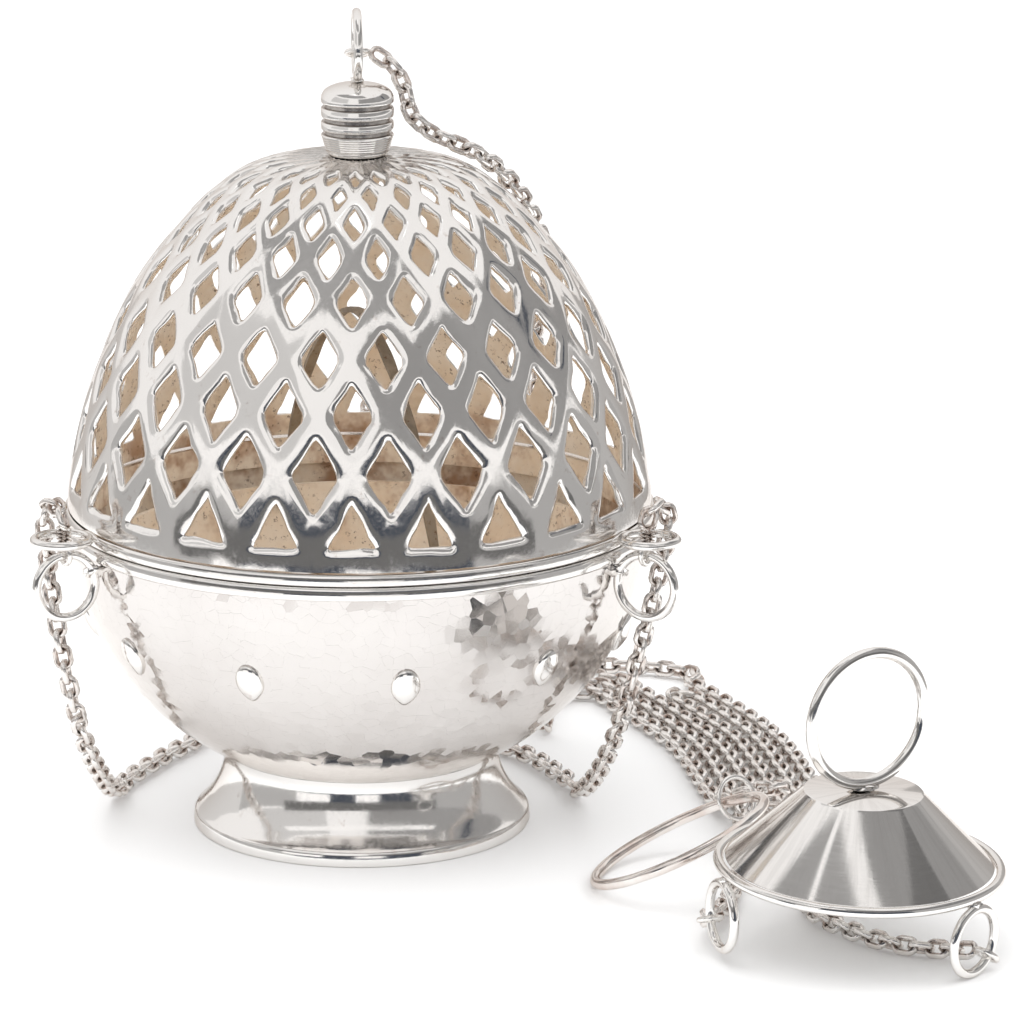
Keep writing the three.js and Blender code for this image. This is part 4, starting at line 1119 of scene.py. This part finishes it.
class THURIBLE_OT_boss(ThuribleOperator, bpy.types.Operator):
    """Spins the cone-shaped boss and fits its rim, ring and eyes"""

    bl_idname = "thurible.boss"
    bl_label = "Boss"

    def build(self, scene):
        under = [(0, 15.2), (11.6, 15.2), (26.9, 0.6), (28.1, 0.6)]
        over = [(28.3, 0.85), (12.85, 15.75), (12.6, 16.1), (12.0, BOSS_TOP), (0, BOSS_TOP)]
        bm = turned(bmesh.new(), under + over, 144, closed=False)
        bmesh.ops.transform(bm, matrix=BOSS, verts=bm.verts)
        finish_piece("boss_plate", bm, ["brushed"], "base", ["boss_cone"], 20)
        bm = bmesh.new()
        wire_ring(bm, 61.5, 2.2, BOSS, 144, 16)
        finish_ring("rolled_rim", bm, "base", "boss_rim")
        self.ring()
        self.eyes()

    def ring(self):
        bm = bmesh.new()
        middle = Vector((0, 0, BOSS_TOP + 0.3 + 15.5))
        wire_ring(bm, 31, 2.5, BOSS @ facing(middle, polar(1, 32)), 120, 18)
        blob(bm, BOSS @ Vector((0, 0, 17.05)), (2.9, 1.9, 0.8), UP, 0.5)
        finish_ring("hanging_ring", bm, "base", "boss_ring")

    def eyes(self):
        reach, drop = BOSS_EYE_PLACE
        for number, azimuth in enumerate(BOSS_EYE_AZIMUTHS, 1):
            bm = bmesh.new()
            hung = BOSS @ facing(polar(reach, azimuth, drop), polar(1, azimuth))
            wire_ring(bm, RING_OUTER, RING_WIRE, hung, 72, 16)
            blob(bm, BOSS @ polar(30.0, azimuth, -1.2), (1.6, 1.4, 0.9), UP, 0.4)
            finish_ring(f"boss_eye_ring_{number}", bm, "base", f"boss_eye_{number}")
            point, way, leaving = BOSS_HOOKS[number - 1]
            goal = GOALS.index(number - 1) + 1
            round_link(f"last_link_{goal}", point + leaving * LINK_SLACK, way, "base", f"boss_link_{goal}")


class THURIBLE_OT_pull_ring(ThuribleOperator, bpy.types.Operator):
    """Bends the pull ring and the small ring that holds it to the lid's chain"""

    bl_idname = "thurible.pull_ring"
    bl_label = "Pull ring"

    def build(self, scene):
        bm = bmesh.new()
        middle = PULL_LOW + PULL_RISE * (PULL_OUTER - PULL_WIRE) / 2
        wire_ring(bm, PULL_OUTER, PULL_WIRE, facing(middle, PULL_RISE.cross(PULL_ACROSS)), 160, 18)
        finish_piece("finger_ring", bm, ["blushed"], "pull_ring", ["pull_ring"], 60)
        jump, way = jump_place()
        bm = bmesh.new()
        wire_ring(bm, JUMP_OUTER, JUMP_WIRE, facing(jump, way - JUMP_AIM * way.dot(JUMP_AIM)), 48, 10)
        finish_piece("joining_ring", bm, ["worn"], "base", ["jump_ring"], 60)


class ChainMaker(ThuribleOperator):
    """Lays links along a smooth route."""

    def links(self, name, route, settings, seed, body, replaced, squeezed=0):
        pitch = settings.pitch / MM
        length = spaced(route, max(2, 2 * len(route)), curve_point)[1]
        count = squeezed or max(2, round((length - 2.4) / pitch) + 1)
        line, length = spaced(route, 8 * count, curve_point)
        bm = bmesh.new()
        template = self.link(settings)
        rest = [0.0] * (3 * len(template.vertices))
        template.vertices.foreach_get("co", rest)
        side = UP.cross(line[1] - line[0])
        side = side.normalized() if side.length > 1e-3 else Vector((1, 0, 0))
        ends = 0.4 if squeezed else 1.9
        previous = None
        for k in range(count):
            place = (ends + (length - 2 * ends) * k / (count - 1)) / length * 8 * count
            spot = min(int(place), 8 * count - 1)
            middle = line[spot].lerp(line[spot + 1], place - spot)
            ahead = (line[min(8 * count, spot + 5)] - line[max(0, spot - 4)]).normalized()
            if previous is not None:
                side = previous.rotation_difference(ahead) @ side
            flat = UP.cross(ahead)
            if flat.length > 0.5:
                side = (side * 0.5 + flat.normalized() * (0.5 if side.dot(flat) > 0 else -0.5))
            side = (side - ahead * side.dot(ahead)).normalized()
            previous = ahead
            lean = 45 + 90 * (k % 2)
            lean = lean + 14 * noise.noise(Vector((k * 0.61, seed, 0))) + 16 * noise.noise(Vector((k * 0.13, seed, 5)))
            over = Matrix.Rotation(math.radians(lean), 3, ahead) @ side
            turn = Matrix((ahead, over, ahead.cross(over))).transposed().to_4x4()
            squeeze = Matrix.Diagonal((0.1, 0.9, 0.9, 1)) if squeezed else Matrix.Identity(4)
            template.vertices.foreach_set("co", rest)
            template.transform(Matrix.Translation(middle) @ turn @ squeeze)
            bm.from_mesh(template)
        bpy.data.meshes.remove(template)
        return finish_piece(name, bm, ["worn"], body, replaced, 60)

    def link(self, settings):
        """One oval link of half-round wire, its length along X."""
        wire = settings.link_wire / MM
        long = (settings.link_length / MM - wire) / 2
        wide = (settings.link_width / MM - wire) / 2
        bm = bmesh.new()
        crevice = bm.verts.layers.float.new("crevice")
        wire_ring(bm, 2 * wide + wire, wire, Matrix.Identity(4), 14, 6)
        for vert in bm.verts:
            inner = math.hypot(vert.co.x, vert.co.y) < wide
            vert[crevice] = 1.0 if inner else 0.25
            vert.co.x += math.copysign(long - wide, vert.co.x) if abs(vert.co.x) > 0.05 else 0
            vert.co.z *= 1.12
        mesh = bpy.data.meshes.new("link")
        bm.to_mesh(mesh)
        bm.free()
        return mesh

    def declare(self, piece, route, far_end, with_pieces=()):
        points, length = spaced(route, max(20, 6 * len(route)), curve_point)


class THURIBLE_OT_carrying_chains(ChainMaker, bpy.types.Operator):
    """Links the three chains from the bowl through the lid's rings to the boss"""

    bl_idname = "thurible.carrying_chains"
    bl_label = "Carrying chains"

    def build(self, scene):
        settings = scene.thurible_chain
        boss = ["boss_plate", "rolled_rim", "hanging_ring", *[f"boss_eye_ring_{n}" for n in (1, 2, 3)]]
        for k, route in enumerate(run_routes()):
            number = k + 1
            azimuth = RING_AZIMUTHS[k]
            riser = [polar(FOLD_RADIUS, azimuth, z) for z in (73.4, 75.2, 77.6)]
            stem = self.links(f"lifting_links_{number}", riser, settings, 3 + k, None, [f"chain_riser_{number}"], squeezed=9)
            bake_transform(stem)
            fall = [*fold(k), *lie(FALLS[k])]
            piece = self.links(f"hanging_chain_{number}", fall, settings, 7 + k, None, [f"chain_fall_{number}"])
            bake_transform(piece)
            self.declare(piece, fall, "object", [stem, f"first_link_{number}"])
            hook = BOSS_HOOKS[GOALS[k]]
            course = [*after(fall), *lie(route), beyond(hook)]
            run = self.links(f"lying_chain_{number}", course, settings, 11 + k, "base", [f"chain_run_{number}"])
            ends = [f"last_link_{number}", *(boss if k == 0 else [])]
            self.declare(run, course, "fitting", ends)


class THURIBLE_OT_lid_chain(ChainMaker, bpy.types.Operator):
    """Links the lid's chain from its eye down the dome and over the table to the pull ring"""

    bl_idname = "thurible.lid_chain"
    bl_label = "Lid chain"

    def build(self, scene):
        settings = scene.thurible_chain
        hook = eye_hook()
        point, way, leaving = hook
        round_link("eye_ring", point + leaving * LINK_SLACK, way, "lid", "eye_link")
        face = DomeFace()
        over = [face.point(azimuth, face.where(lambda p, z=z: p.y >= z), 2.9) for azimuth, z in DRAPE]
        fall = lie(LID_FALL)
        x, y, z = LID_FALL[0]
        top = [Vector((x, y, z + up)) for up in (CHAIN_STEP, CHAIN_GAP)]
        drape = [beyond(hook), *[Vector(p) for p in SHOULDER], *over, *top]
        piece = self.links("draped_chain", drape, settings, 21, "lid", ["lid_chain_drape"])
        self.declare(piece, drape, "object", ["eye_ring"])
        piece = self.links("lid_hanging_chain", fall, settings, 22, None, ["lid_chain_fall"])
        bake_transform(piece)
        self.declare(piece, fall, "object")
        jump, _ = jump_place()
        course = [*after(fall), *lie(lid_run_route()), jump + JUMP_AIM * (JUMP_OUTER / 2 + 0.5)]
        piece = self.links("lid_lying_chain", course, settings, 23, "base", ["lid_chain_run"])
        self.declare(piece, course, "fitting", ["joining_ring", "finger_ring"])


class THURIBLE_PT_panel(bpy.types.Panel):
    """Lists the thurible's pieces and settings"""

    bl_idname = "THURIBLE_PT_panel"
    bl_label = "Thurible"
    bl_space_type = "VIEW_3D"
    bl_region_type = "UI"
    bl_category = "Thurible"

    def draw(self, context):
        for operator in OPERATORS:
            self.layout.operator(operator.bl_idname)
        for name in SETTINGS:
            box = self.layout.box()
            group = getattr(context.scene, name)
            for key in group.__annotations__:
                box.prop(group, key)


SETTINGS = {
    "thurible_body": ThuribleBody,
    "thurible_lattice": ThuribleLattice,
    "thurible_chain": ThuribleChain,
    "thurible_finish": ThuribleFinish,
    "thurible_stage": ThuribleStage,
}
OPERATORS = [
    THURIBLE_OT_stage, THURIBLE_OT_foot, THURIBLE_OT_bowl, THURIBLE_OT_mouth_band, THURIBLE_OT_bowl_rings,
    THURIBLE_OT_fire_pan, THURIBLE_OT_lid_band, THURIBLE_OT_lattice, THURIBLE_OT_lid_rings, THURIBLE_OT_finial,
    THURIBLE_OT_boss, THURIBLE_OT_pull_ring, THURIBLE_OT_carrying_chains, THURIBLE_OT_lid_chain,
]


def register():
    for cls in (*SETTINGS.values(), *OPERATORS, THURIBLE_PT_panel):
        bpy.utils.register_class(cls)
    for name, cls in SETTINGS.items():
        setattr(bpy.types.Scene, name, bpy.props.PointerProperty(type=cls))


def unregister():
    for name in SETTINGS:
        delattr(bpy.types.Scene, name)
    for cls in (THURIBLE_PT_panel, *reversed(OPERATORS), *SETTINGS.values()):
        bpy.utils.unregister_class(cls)


def main():
    noise.seed_set(SEED)
    register()
    for operator in OPERATORS:
        group, name = operator.bl_idname.split(".")
        getattr(getattr(bpy.ops, group), name)()


if __name__ == "__main__":
    main()
